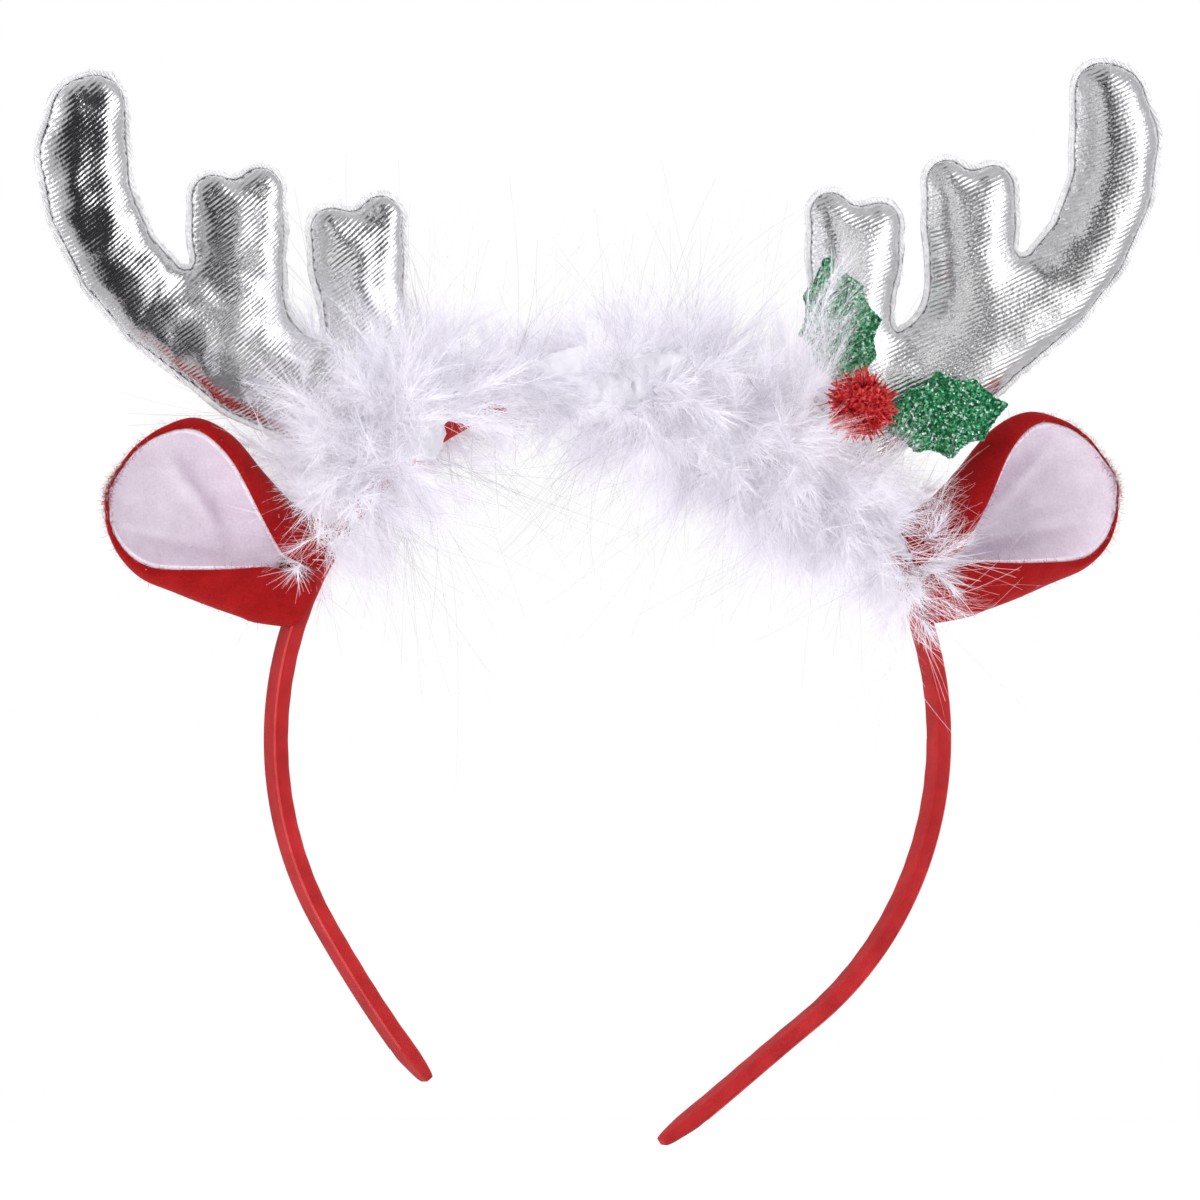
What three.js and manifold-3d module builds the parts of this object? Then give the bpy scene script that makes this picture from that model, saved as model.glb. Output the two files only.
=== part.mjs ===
// Reindeer headband: a springy satin-covered band carrying two padded antlers, two folded felt ears,
// a feather boa wound along its top, and a sprig of glitter holly with a tinsel berry.
// Millimetres. The front faces -Y, +X is to the right seen from the front, +Z is up.
// The origin is the middle of the trim on the band's inner face, where it sits on the crown of a head.
import * as THREE from "three";
import { mergeVertices } from "three/addons/utils/BufferGeometryUtils.js";
import Module from "manifold-3d";

const wasm = await Module();
wasm.setup();

// Driving dimensions
const GAP = 0.4; // air kept between two pieces that touch on the real object
const SIDES = { right: 1, left: -1 };

const BAND = {
  radius: 71.0, // to the middle of the strip
  shift: -0.1, // how far the ring's centre lies to the right of the trim's middle
  width: 6.5, // front to back
  thickness: 3.2,
  cornerRadius: 1.1,
  lean: 11, // degrees that the band is turned clockwise under the trim
  tipAngle: 161, // degrees from the band's own top to each tip
  straightFrom: 132, // degrees from the top where the arms begin to straighten
  sectionStep: 7, // degrees, an even share of the tip angle
};
// Radius that an arm gains for each squared degree past there; the right one is sprung wider
const BAND_STRAIGHTENING = { right: 0.0125, left: 0.0085 };
// Last sections of each arm: degrees before the tip, and the share of the full section there
const BAND_TIP = [
  { before: 2.6, share: 0.95 },
  { before: 1.1, share: 0.8 },
  { before: 0, share: 0.5 },
];
const CENTRE_Z = -(BAND.radius - BAND.thickness / 2);

// The antlers are two cloth panels sewn together and stuffed. A flat border runs outside the seam.
const ANTLER = {
  border: 1.3,
  borderThickness: 1.0,
  shoulderAcross: 0.74, // where the stuffing's shoulder stands, as a share of the way out to the seam
  shoulderDepth: 0.7, // the stuffing's depth there, as a share of its depth in the middle
  leastSwell: 0.02, // the stuffing always rises by this over the border
};
// Sections of the right antler's limbs: place in the antler's plane, half the cut width with its
// border, and half the stuffed depth. A row with depth 0 is past the stuffing, on the border.
const ANTLER_LIMBS = {
  beam: [
    { x: 47.5, z: -14.5, half: 9.0, depth: 5.0 },
    { x: 57.0, z: -2.8, half: 10.8, depth: 7.0 },
    { x: 70.0, z: 4.8, half: 11.6, depth: 7.6 },
    { x: 84.2, z: 13.7, half: 11.2, depth: 7.6 },
    { x: 95.2, z: 20.7, half: 9.8, depth: 7.2 },
    { x: 102.8, z: 29.5, half: 9.6, depth: 7.0 },
    { x: 107.8, z: 41.0, half: 10.0, depth: 7.0 },
    { x: 109.0, z: 51.5, half: 9.8, depth: 6.8 },
    { x: 108.2, z: 59.5, half: 8.8, depth: 5.2 },
    { x: 107.0, z: 64.6, half: 6.4, depth: 0 },
    { x: 106.4, z: 67.0, half: 4.0, depth: 0 },
  ],
  middle_tine: [
    { x: 76.2, z: 8.0, half: 11.0, depth: 7.0 },
    { x: 77.2, z: 21.0, half: 10.2, depth: 7.0 },
    { x: 77.2, z: 33.0, half: 10.4, depth: 6.8 },
    { x: 76.9, z: 42.0, half: 9.0, depth: 4.6 },
  ],
  middle_tine_inner_lobe: [
    { x: 74.0, z: 34.0, half: 6.6, depth: 5.6 },
    { x: 72.0, z: 42.0, half: 5.9, depth: 4.6 },
    { x: 71.6, z: 45.8, half: 4.0, depth: 0 },
    { x: 71.4, z: 47.9, half: 2.0, depth: 0 },
  ],
  middle_tine_outer_lobe: [
    { x: 80.4, z: 34.0, half: 6.6, depth: 5.6 },
    { x: 82.0, z: 41.0, half: 5.8, depth: 4.6 },
    { x: 82.3, z: 44.8, half: 4.0, depth: 0 },
    { x: 82.4, z: 46.9, half: 2.0, depth: 0 },
  ],
  inner_tine: [
    { x: 49.5, z: -9.0, half: 8.6, depth: 5.0 },
    { x: 51.0, z: 6.0, half: 9.4, depth: 6.4 },
    { x: 51.4, z: 19.0, half: 9.8, depth: 6.6 },
    { x: 51.9, z: 30.0, half: 10.2, depth: 6.0 },
    { x: 52.0, z: 35.0, half: 8.8, depth: 4.4 },
  ],
  inner_tine_inner_lobe: [
    { x: 48.6, z: 27.0, half: 6.4, depth: 5.2 },
    { x: 46.8, z: 35.4, half: 5.8, depth: 4.4 },
    { x: 46.5, z: 39.2, half: 3.8, depth: 0 },
    { x: 46.4, z: 41.2, half: 2.0, depth: 0 },
  ],
  inner_tine_outer_lobe: [
    { x: 55.4, z: 26.0, half: 6.4, depth: 5.2 },
    { x: 57.4, z: 33.8, half: 5.6, depth: 4.4 },
    { x: 57.7, z: 37.2, half: 3.8, depth: 0 },
    { x: 57.8, z: 39.3, half: 2.0, depth: 0 },
  ],
};
// How each antler is set on the band: degrees that it leans outward about its foot, and how far it is
// moved outward and up
const ANTLER_SET = {
  right: { lean: 0, out: 0.6, up: 0.4 },
  left: { lean: 3.0, out: -0.4, up: -1.0 },
};

// The ears are two layers of felt, red outside and pale inside, folded to a cup whose edges meet in
// front at the foot and part towards the tip.
const EAR = {
  forward: 1.5, // how far its middle stands in front of the band's middle
  felt: 1.2, // thickness of the red layer
  lining: 1.0, // thickness of the pale layer
  liningEnd: 0.4, // share of the last stretch that the pale layer covers, so that a red rim shows
  across: 16, // facets from one edge of the fold to the other
  leastHalf: 0.4, // an inset section keeps at least this half height and half depth
};
// Sections across an ear: distance from the foot, shift of the middle upwards, half the height,
// half the depth, and degrees from the back of the fold round to each edge
const EAR_SECTIONS = [
  { along: -1.0, rise: 1.0, half: 10.8, depth: 5.4, wrap: 172 },
  { along: 6.6, rise: 0.8, half: 12.4, depth: 6.4, wrap: 172 },
  { along: 10.5, rise: 1.6, half: 13.2, depth: 7.2, wrap: 166 },
  { along: 16.0, rise: 3.0, half: 14.6, depth: 8.2, wrap: 152 },
  { along: 24.0, rise: 5.2, half: 16.8, depth: 8.6, wrap: 132 },
  { along: 32.0, rise: 5.8, half: 17.0, depth: 7.6, wrap: 114 },
  { along: 38.0, rise: 5.2, half: 13.8, depth: 6.0, wrap: 102 },
  { along: 41.8, rise: 4.4, half: 9.2, depth: 4.4, wrap: 95 },
  { along: 43.6, rise: 3.8, half: 4.8, depth: 3.2, wrap: 92 },
];
const LINING_FROM = 2; // the pale layer starts at this section, inside the closed fold
// How each ear is set: degrees above the horizontal where its foot meets the band, degrees that it
// points upwards, and its length against the sections above
const EAR_SET = {
  right: { bandAngle: 26.5, point: 20, stretch: 1.07 },
  left: { bandAngle: 26, point: 19, stretch: 1.0 },
};

// The boa is a plump roll of feathers round the band, thick at the right and pinched left of the middle
const BOA_SECTIONS = [
  { angle: 151, radius: 6.0 },
  { angle: 147, radius: 12.0 },
  { angle: 139, radius: 16.0 },
  { angle: 129, radius: 18.0 },
  { angle: 119, radius: 15.0 },
  { angle: 110, radius: 10.0 },
  { angle: 101, radius: 11.5 },
  { angle: 91, radius: 15.0 },
  { angle: 81, radius: 18.0 },
  { angle: 70, radius: 16.5 },
  { angle: 59, radius: 17.0 },
  { angle: 48, radius: 18.0 },
  { angle: 38, radius: 17.0 },
  { angle: 29, radius: 14.0 },
  { angle: 22, radius: 11.0 },
  { angle: 17, radius: 5.0 },
];
const BOA = { sides: 10, locksAround: 5 };
const LOCK = {
  sunk: 4.0, // length inside the roll
  reach: 8.0, // length outside it
  rootRadius: 6.4,
  tipRadius: 1.4,
  sides: 5,
  smallest: 0.7, // least size against these lengths
  spread: 0.5, // how much larger some locks are
};

// One holly leaf, flat glitter foam: its spikes from the stalk to the tip, each with half its width.
// The edge is hollow between two spikes.
const LEAF = {
  thickness: 2.0,
  hollow: 0.7, // the edge's dip between two spikes, as a share of their mean half width
  curveSteps: 3,
  sideRoom: 1.5, // the air kept round a leaf is this many gaps at its slanting edges
  endRoom: 2, // and this many at its two ends
};
const LEAF_SPIKES = [
  { along: 0, half: 1.8 },
  { along: 5.0, half: 6.4 },
  { along: 12.0, half: 8.8 },
  { along: 19.5, half: 6.2 },
  { along: 26.0, half: 0.15 },
];
// Each leaf's stalk, and degrees from +X that it points, up and away from the front
const LEAF_SET = {
  holly_leaf_upper: { x: 47.6, y: -9.4, z: 1.2, point: 100, back: 4 },
  holly_leaf_lower: { x: 55.6, y: -10.6, z: -6.4, point: 9, back: 4 },
};
const BERRY = {
  x: 45.9,
  y: -20.2,
  z: -2.8,
  core: 5.4, // radius of the ball
  reach: 7.9, // radius to the strips' tips
  strips: 42,
  stripRadius: 1.0,
  stripSides: 4,
  stripSunk: 1.5, // length inside the ball
};

const COLOURS = {
  satin: { color: 0xb8202a, roughness: 0.4, metalness: 0 },
  foil: { color: 0xc9c9cf, roughness: 0.25, metalness: 1 },
  felt: { color: 0xbd1a1e, roughness: 0.95, metalness: 0 },
  plush: { color: 0xe6d9e4, roughness: 0.95, metalness: 0 },
  feather: { color: 0xf1eff3, roughness: 0.9, metalness: 0 },
  glitter: { color: 0x177a3d, roughness: 0.35, metalness: 0.3 },
  tinsel: { color: 0xc92330, roughness: 0.4, metalness: 0.2 },
};

const radians = THREE.MathUtils.degToRad;

// A repeatable number from 0 to 1 for a pair of counters
function scatter(i, j) {
  const wave = Math.sin(i * 12.9898 + j * 78.233) * 43758.5453;
  return wave - Math.floor(wave);
}

// A point in the band's plane, at an angle above +X seen from the band's centre
function polar(angle, radius, y = 0) {
  const a = radians(angle);
  return new THREE.Vector3(BAND.shift + radius * Math.cos(a), y, CENTRE_Z + radius * Math.sin(a));
}

// A closed geometry through rings of equally many points, an even number. Each end is closed by a
// strip between the first half of its ring and the second, so that a ring may be a curved wall.
function loft(rings) {
  const count = rings[0].length;
  const last = rings.length - 1;
  const index = [];
  const at = (ring, k) => ring * count + (k % count);
  const addQuad = (a, b, c, d) => index.push(a, b, c, a, c, d);
  for (let ring = 0; ring < last; ring++) {
    for (let k = 0; k < count; k++) {
      addQuad(at(ring, k), at(ring, k + 1), at(ring + 1, k + 1), at(ring + 1, k));
    }
  }
  for (let k = 0; k < count / 2 - 1; k++) {
    const facing = count - 1 - k;
    addQuad(at(0, k + 1), at(0, k), at(0, facing), at(0, facing - 1));
    addQuad(at(last, k), at(last, k + 1), at(last, facing - 1), at(last, facing));
  }
  const geometry = new THREE.BufferGeometry();
  const positions = rings.flat().flatMap((p) => p.toArray());
  geometry.setAttribute("position", new THREE.Float32BufferAttribute(positions, 3));
  geometry.setIndex(index);
  return geometry;
}

// A manifold solid of a closed geometry, turned right way out
function solidOf(geometry) {
  const bare = geometry.clone();
  ["normal", "uv"].forEach((name) => bare.deleteAttribute(name));
  const merged = mergeVertices(bare, 1e-4);
  const triVerts = new Uint32Array(merged.index.array);
  const make = () =>
    new wasm.Manifold(
      new wasm.Mesh({ numProp: 3, vertProperties: merged.attributes.position.array, triVerts }),
    );
  const solid = make();
  if (solid.volume() > 0) return solid;
  for (let i = 0; i < triVerts.length; i += 3) {
    [triVerts[i + 1], triVerts[i + 2]] = [triVerts[i + 2], triVerts[i + 1]];
  }
  return make();
}

function geometryOf(solid) {
  const { vertProperties, triVerts, numProp } = solid.getMesh();
  const geometry = new THREE.BufferGeometry();
  const buffer = new THREE.InterleavedBuffer(new Float32Array(vertProperties), numProp);
  geometry.setAttribute("position", new THREE.InterleavedBufferAttribute(buffer, 3, 0));
  geometry.setIndex(new THREE.BufferAttribute(new Uint32Array(triVerts), 1));
  return geometry;
}

const joined = (solids) => solids.reduce((whole, next) => whole.add(next));
const cutBy = (solid, cutters) => cutters.reduce((rest, cutter) => rest.subtract(cutter), solid);
// Cuts can leave loose crumbs beside the piece itself
const largestOf = (solid) => solid.decompose().reduce((a, b) => (a.volume() > b.volume() ? a : b));

// The band
function bandRing(theta, share, grow) {
  const middle = (t) => {
    const past = Math.max(0, Math.abs(t) - BAND.straightFrom);
    const gain = t < 0 ? BAND_STRAIGHTENING.right : BAND_STRAIGHTENING.left;
    return polar(90 - BAND.lean + t, BAND.radius + gain * past * past);
  };
  const along = middle(theta + 0.1).sub(middle(theta - 0.1)).normalize();
  const out = new THREE.Vector3(along.z, 0, -along.x);
  const corner = BAND.cornerRadius * share;
  const halfWidth = (BAND.width / 2) * share - corner;
  const halfThickness = (BAND.thickness / 2) * share - corner;
  const ring = [];
  [[1, 1], [-1, 1], [-1, -1], [1, -1]].forEach(([sideY, sideOut], quarter) => {
    [0, 45, 90].forEach((turn) => {
      const a = radians(quarter * 90 + turn);
      const y = sideY * halfWidth + (corner + grow) * Math.cos(a);
      const reach = sideOut * halfThickness + (corner + grow) * Math.sin(a);
      const point = middle(theta).addScaledVector(out, reach);
      ring.push(point.setY(y));
    });
  });
  return ring;
}

function bandSolid(grow = 0) {
  const { tipAngle, sectionStep } = BAND;
  const rings = [];
  for (const { before, share } of [...BAND_TIP].reverse()) {
    rings.push(bandRing(before - tipAngle, share, grow));
  }
  for (let theta = sectionStep - tipAngle; theta < tipAngle; theta += sectionStep) {
    rings.push(bandRing(theta, 1, grow));
  }
  for (const { before, share } of BAND_TIP) {
    rings.push(bandRing(tipAngle - before, share, grow));
  }
  return solidOf(loft(rings));
}

// The antlers
function limbSolid(rows, grow) {
  const edge = ANTLER.borderThickness / 2 + grow;
  const rings = rows.map(({ x, z, half, depth }, i) => {
    const before = rows[Math.max(i - 1, 0)];
    const after = rows[Math.min(i + 1, rows.length - 1)];
    const along = new THREE.Vector3(after.x - before.x, 0, after.z - before.z).normalize();
    const across = new THREE.Vector3(along.z, 0, -along.x);
    const outer = half + grow;
    const seam = half - ANTLER.border;
    const swell = Math.max(depth + grow, edge + ANTLER.leastSwell);
    const shoulder = seam * ANTLER.shoulderAcross;
    const shoulderDepth = Math.max(swell * ANTLER.shoulderDepth, edge + ANTLER.leastSwell / 2);
    const front = [
      [outer, edge],
      [seam, edge],
      [shoulder, shoulderDepth],
      [0, swell],
      [-shoulder, shoulderDepth],
      [-seam, edge],
      [-outer, edge],
    ];
    const back = front.map(([a, d]) => [a, -d]).reverse();
    return [...front, ...back].map(
      ([a, d]) => new THREE.Vector3(x + across.x * a, -d, z + across.z * a),
    );
  });
  return solidOf(loft(rings));
}

function antlerSolid(side, grow = 0) {
  const limbs = joined(Object.values(ANTLER_LIMBS).map((rows) => limbSolid(rows, grow)));
  const { lean, out, up } = ANTLER_SET[side];
  const foot = ANTLER_LIMBS.beam[0];
  const place = new THREE.Matrix4()
    .makeScale(SIDES[side], 1, 1)
    .multiply(new THREE.Matrix4().makeTranslation(foot.x + out, 0, foot.z + up))
    .multiply(new THREE.Matrix4().makeRotationY(radians(lean)))
    .multiply(new THREE.Matrix4().makeTranslation(-foot.x, 0, -foot.z));
  return limbs.transform(place.elements);
}

// The ears
function earPlace(side) {
  const { bandAngle, point, stretch } = EAR_SET[side];
  const angle = side === "right" ? bandAngle : 180 - bandAngle;
  const foot = polar(angle, BAND.radius + BAND.thickness / 2 + GAP, -EAR.forward);
  return new THREE.Matrix4()
    .makeTranslation(foot.x, foot.y, foot.z)
    .multiply(new THREE.Matrix4().makeScale(SIDES[side], 1, 1))
    .multiply(new THREE.Matrix4().makeRotationY(-radians(point)))
    .multiply(new THREE.Matrix4().makeScale(stretch, 1, 1));
}

// One line of points across an ear, from one edge of the fold round the back to the other
function earLine(row, inset) {
  const line = [];
  for (let k = 0; k <= EAR.across; k++) {
    const turn = radians(row.wrap) * (1 - (2 * k) / EAR.across);
    const half = Math.max(row.half - inset, EAR.leastHalf);
    const depth = Math.max(row.depth - inset, EAR.leastHalf);
    line.push(new THREE.Vector3(row.along, depth * Math.cos(turn), row.rise + half * Math.sin(turn)));
  }
  return line;
}

// A layer of felt between two insets of the ear's form
function earLayer(rows, outer, inner, side) {
  const rings = rows.map((row) => [...earLine(row, outer), ...earLine(row, inner).reverse()]);
  return solidOf(loft(rings)).transform(earPlace(side).elements);
}

function earFelt(side) {
  return earLayer(EAR_SECTIONS, 0, EAR.felt, side);
}

function earLining(side) {
  const inset = EAR.felt + 2 * GAP;
  const [before, last] = EAR_SECTIONS.slice(-2);
  const end = {};
  for (const key of Object.keys(last)) {
    end[key] = THREE.MathUtils.lerp(before[key], last[key], EAR.liningEnd);
  }
  const rows = [...EAR_SECTIONS.slice(LINING_FROM, -1), end];
  return earLayer(rows, inset, inset + EAR.lining, side);
}

// The whole cup, its hollow filled, with air round it
function earRoom(side) {
  const rings = EAR_SECTIONS.map((row) => {
    const line = earLine({ ...row, wrap: 180 }, -2 * GAP);
    return line.slice(0, -1);
  });
  return solidOf(loft(rings)).transform(earPlace(side).elements);
}

// The boa
function boaSolid() {
  const ringAt = ({ angle, radius }) => {
    const ring = [];
    for (let k = 0; k < BOA.sides; k++) {
      const turn = (k / BOA.sides) * 2 * Math.PI;
      ring.push(polar(angle, BAND.radius + radius * Math.cos(turn), radius * Math.sin(turn)));
    }
    return ring;
  };
  const core = solidOf(loft(BOA_SECTIONS.map(ringAt)));
  const lock = new THREE.CylinderGeometry(
    LOCK.tipRadius,
    LOCK.rootRadius,
    LOCK.reach + LOCK.sunk,
    LOCK.sides,
  );
  lock.translate(0, (LOCK.reach - LOCK.sunk) / 2, 0);
  const lockSolid = solidOf(lock);
  const locks = [];
  BOA_SECTIONS.slice(1, -1).forEach(({ angle, radius }, i) => {
    for (let k = 0; k < BOA.locksAround; k++) {
      const turn = ((k + scatter(i, k)) / BOA.locksAround) * 2 * Math.PI;
      const root = polar(angle, BAND.radius + radius * Math.cos(turn), radius * Math.sin(turn));
      const out = root.clone().sub(polar(angle, BAND.radius)).normalize();
      const drift = polar(angle + 1, BAND.radius).sub(polar(angle - 1, BAND.radius)).normalize();
      const aim = out.addScaledVector(drift, scatter(i, k + 20) - 0.5).normalize();
      const turned = new THREE.Quaternion().setFromUnitVectors(new THREE.Vector3(0, 1, 0), aim);
      const size = LOCK.smallest + LOCK.spread * scatter(i + 30, k);
      const place = new THREE.Matrix4().compose(root, turned, new THREE.Vector3(size, size, size));
      locks.push(lockSolid.transform(place.elements));
    }
  });
  return joined([core, ...locks]);
}

// The holly
function leafGeometry(grow) {
  const shape = new THREE.Shape();
  const side = LEAF.sideRoom * grow;
  const spikes = LEAF_SPIKES.map(({ along, half }) => new THREE.Vector2(along, half + side));
  spikes[0].x -= LEAF.endRoom * grow;
  spikes.at(-1).x += LEAF.endRoom * grow;
  const outline = [...spikes, ...spikes.map((p) => new THREE.Vector2(p.x, -p.y)).reverse()];
  shape.moveTo(outline[0].x, outline[0].y);
  outline.slice(1).forEach((to, i) => {
    const from = outline[i];
    const dip = from.clone().add(to).multiplyScalar(0.5);
    dip.y *= LEAF.hollow;
    shape.quadraticCurveTo(dip.x, dip.y, to.x, to.y);
  });
  const geometry = new THREE.ExtrudeGeometry(shape, {
    depth: LEAF.thickness + 2 * grow,
    bevelEnabled: false,
    curveSegments: LEAF.curveSteps,
  });
  return geometry.translate(0, 0, -grow);
}

// The leaf's flat side turns to the front, then the leaf turns to where it points
function leafSolid({ x, y, z, point, back }, grow = 0) {
  const place = new THREE.Matrix4()
    .makeTranslation(x, y, z)
    .multiply(new THREE.Matrix4().makeRotationY(-radians(point)))
    .multiply(new THREE.Matrix4().makeRotationZ(radians(back)))
    .multiply(new THREE.Matrix4().makeRotationX(Math.PI / 2));
  return solidOf(leafGeometry(grow)).transform(place.elements);
}

function berrySolid() {
  const core = solidOf(new THREE.IcosahedronGeometry(BERRY.core, 1));
  const length = BERRY.reach - BERRY.core + BERRY.stripSunk;
  const strip = new THREE.ConeGeometry(BERRY.stripRadius, length, BERRY.stripSides);
  strip.translate(0, BERRY.reach - length / 2, 0);
  const stripSolid = solidOf(strip);
  const goldenTurn = Math.PI * (3 - Math.sqrt(5));
  const strips = [];
  for (let i = 0; i < BERRY.strips; i++) {
    const height = 1 - (2 * (i + 0.5)) / BERRY.strips;
    const ring = Math.sqrt(1 - height * height);
    const aim = new THREE.Vector3(ring * Math.cos(goldenTurn * i), height, ring * Math.sin(goldenTurn * i));
    const turned = new THREE.Quaternion().setFromUnitVectors(new THREE.Vector3(0, 1, 0), aim);
    const place = new THREE.Matrix4().makeRotationFromQuaternion(turned);
    strips.push(stripSolid.transform(place.elements));
  }
  return joined([core, ...strips]).translate([BERRY.x, BERRY.y, BERRY.z]);
}

function berryRoom() {
  const ball = new THREE.IcosahedronGeometry(BERRY.reach + 2 * GAP, 2);
  return solidOf(ball).translate([BERRY.x, BERRY.y, BERRY.z]);
}

// Assembly
const headband = new THREE.Group();
headband.name = "reindeer_headband";

function addPiece(name, solid, finish) {
  const mesh = new THREE.Mesh(geometryOf(solid), new THREE.MeshStandardMaterial(COLOURS[finish]));
  mesh.name = name;
  headband.add(mesh);
}

const bandRoom = bandSolid(GAP);
const rooms = [bandRoom, berryRoom()];
addPiece("band", bandSolid(), "satin");
for (const side of Object.keys(SIDES)) {
  addPiece(`antler_${side}`, largestOf(cutBy(antlerSolid(side), [bandRoom])), "foil");
  addPiece(`ear_felt_${side}`, largestOf(cutBy(earFelt(side), [bandRoom])), "felt");
  addPiece(`ear_lining_${side}`, earLining(side), "plush");
  rooms.push(antlerSolid(side, GAP), earRoom(side));
}
for (const [name, set] of Object.entries(LEAF_SET)) {
  addPiece(name, leafSolid(set), "glitter");
  rooms.push(leafSolid(set, GAP));
}
addPiece("berry", berrySolid(), "tinsel");
addPiece("feather_boa", largestOf(cutBy(boaSolid(), rooms)), "feather");

export default headband;
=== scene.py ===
import math
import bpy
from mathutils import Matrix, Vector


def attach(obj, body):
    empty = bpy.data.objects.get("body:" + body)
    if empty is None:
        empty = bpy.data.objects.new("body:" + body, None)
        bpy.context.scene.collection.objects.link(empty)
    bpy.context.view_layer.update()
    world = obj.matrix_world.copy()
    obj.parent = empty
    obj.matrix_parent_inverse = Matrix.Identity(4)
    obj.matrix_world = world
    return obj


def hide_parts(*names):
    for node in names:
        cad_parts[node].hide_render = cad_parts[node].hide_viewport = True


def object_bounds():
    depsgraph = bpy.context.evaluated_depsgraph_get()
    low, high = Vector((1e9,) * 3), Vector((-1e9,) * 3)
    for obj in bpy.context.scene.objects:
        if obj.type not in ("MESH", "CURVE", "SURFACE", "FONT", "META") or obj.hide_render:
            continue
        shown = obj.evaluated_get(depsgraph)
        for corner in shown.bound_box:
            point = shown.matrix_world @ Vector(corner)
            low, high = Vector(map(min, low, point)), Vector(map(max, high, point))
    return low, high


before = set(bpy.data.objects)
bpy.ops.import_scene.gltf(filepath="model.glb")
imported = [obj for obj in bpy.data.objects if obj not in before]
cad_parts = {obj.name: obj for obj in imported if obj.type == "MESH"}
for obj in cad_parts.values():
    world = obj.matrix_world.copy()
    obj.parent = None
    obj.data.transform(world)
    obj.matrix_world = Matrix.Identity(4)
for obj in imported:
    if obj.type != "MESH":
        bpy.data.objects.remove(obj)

from types import SimpleNamespace as Sizes

import bpy
import numpy as np
from mathutils import Vector
from mathutils.kdtree import KDTree

cad_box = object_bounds()
rng = np.random.default_rng(7)

# Sizes are millimetres, as in the part's source, and become metres where a mesh is made.
MM = 0.001
UP = np.array([0.0, 0.0, 1.0])
DEPTH = np.array([0.0, 1.0, 0.0])
SIDES = {"right": 1.0, "left": -1.0}

# The photograph: a long lens to the left of the object, level with it
PHOTO = Sizes(azimuth=-21.0, distance=4000.0, width=240.0, aim_right=-2.0, aim_up=-41.6)
# A round white table, a little below the band's tips
FLOOR = Sizes(drop=12.0, radius=650.0, sides=96)

BAND = Sizes(
    radius=71.0, shift=-0.1, width=6.5, thickness=3.2, lean=11.0,
    tip_angle=161.0, straight_from=132.0, gain_right=0.0125, gain_left=0.0085,
    corner=0.75, corner_steps=5, rings=620,
)
CENTRE_Z = -(BAND.radius - BAND.thickness / 2)
OUTER_FACE = BAND.radius + BAND.thickness / 2

# Right antler: discs along each limb, as x, z and radius in the antler's plane, border included
ANTLER_LIMBS = {
    "beam": [
        (47.5, -14.5, 9.0), (57.0, -2.8, 10.8), (70.0, 4.8, 11.6), (84.2, 13.7, 11.2), (95.2, 20.7, 9.8),
        (102.8, 29.5, 9.6), (107.8, 41.0, 10.0), (109.2, 51.0, 10.0), (107.9, 58.4, 8.8),
    ],
    "beam_corner": [(108.0, 52.0, 9.0), (104.6, 61.6, 5.4)],
    "middle_tine": [(76.2, 8.0, 11.0), (77.2, 21.0, 10.2), (77.2, 33.0, 10.5)],
    "middle_inner_lobe": [(74.0, 34.0, 6.6), (72.0, 42.0, 5.9)],
    "middle_outer_lobe": [(80.4, 34.0, 6.6), (82.1, 41.1, 5.8)],
    "middle_notch": [(75.2, 39.2, 5.0), (79.2, 38.8, 5.0)],
    "inner_tine": [(49.5, -9.0, 8.6), (51.0, 6.0, 9.4), (51.4, 19.0, 9.8), (51.9, 26.0, 10.2)],
    "inner_inner_lobe": [(48.6, 27.0, 6.4), (46.8, 35.4, 5.8)],
    "inner_outer_lobe": [(55.4, 26.0, 6.4), (57.4, 33.6, 5.7)],
    "inner_notch": [(50.2, 32.0, 5.0), (54.2, 31.4, 5.0)],
}
ANTLER = Sizes(border=1.05, spacing=1.15, fillet=3.4, deepest=7.4, smooth_depth=3.0, clear=0.6)
# Lowest and highest x and z of the plane that the outline is cut from
ANTLER_BOX = ((36, -24), (122, 70))
# Height of an even triangle whose sides are 1
TRIANGLE_HEIGHT = 0.866
# Lean outward about the foot in degrees, then the move outward and up
ANTLER_SET = {"right": (0.0, 0.6, 0.4), "left": (3.0, -0.4, -1.0)}
ANTLER_FOOT = (47.5, -14.5)
# Rounds of smoothing after the stuffing, and height of the wrinkles: the left one stays more crumpled
ANTLER_RELAX = {"right": 10, "left": 1}
ANTLER_WRINKLE = {"right": 0.05, "left": 0.2}
# Wrinkles of the foil: degrees that they run, wavelength, share of the height
WRINKLES = [(35.0, 10.5, 1.0), (-24.0, 7.4, 0.7), (78.0, 5.2, 0.4)]
# The cloth that is blown up, its steps, and the metres that stand for a millimetre in it
CLOTH = {
    "quality": 4, "mass": 0.15, "tension_stiffness": 8, "compression_stiffness": 8, "shear_stiffness": 4,
    "bending_stiffness": 3, "air_damping": 6, "use_pressure": True, "uniform_pressure_force": 16,
    "shrink_min": -0.03, "vertex_group_mass": "seam",
}
CLOTH_STEPS = 24
CLOTH_SCALE = 0.025

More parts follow.
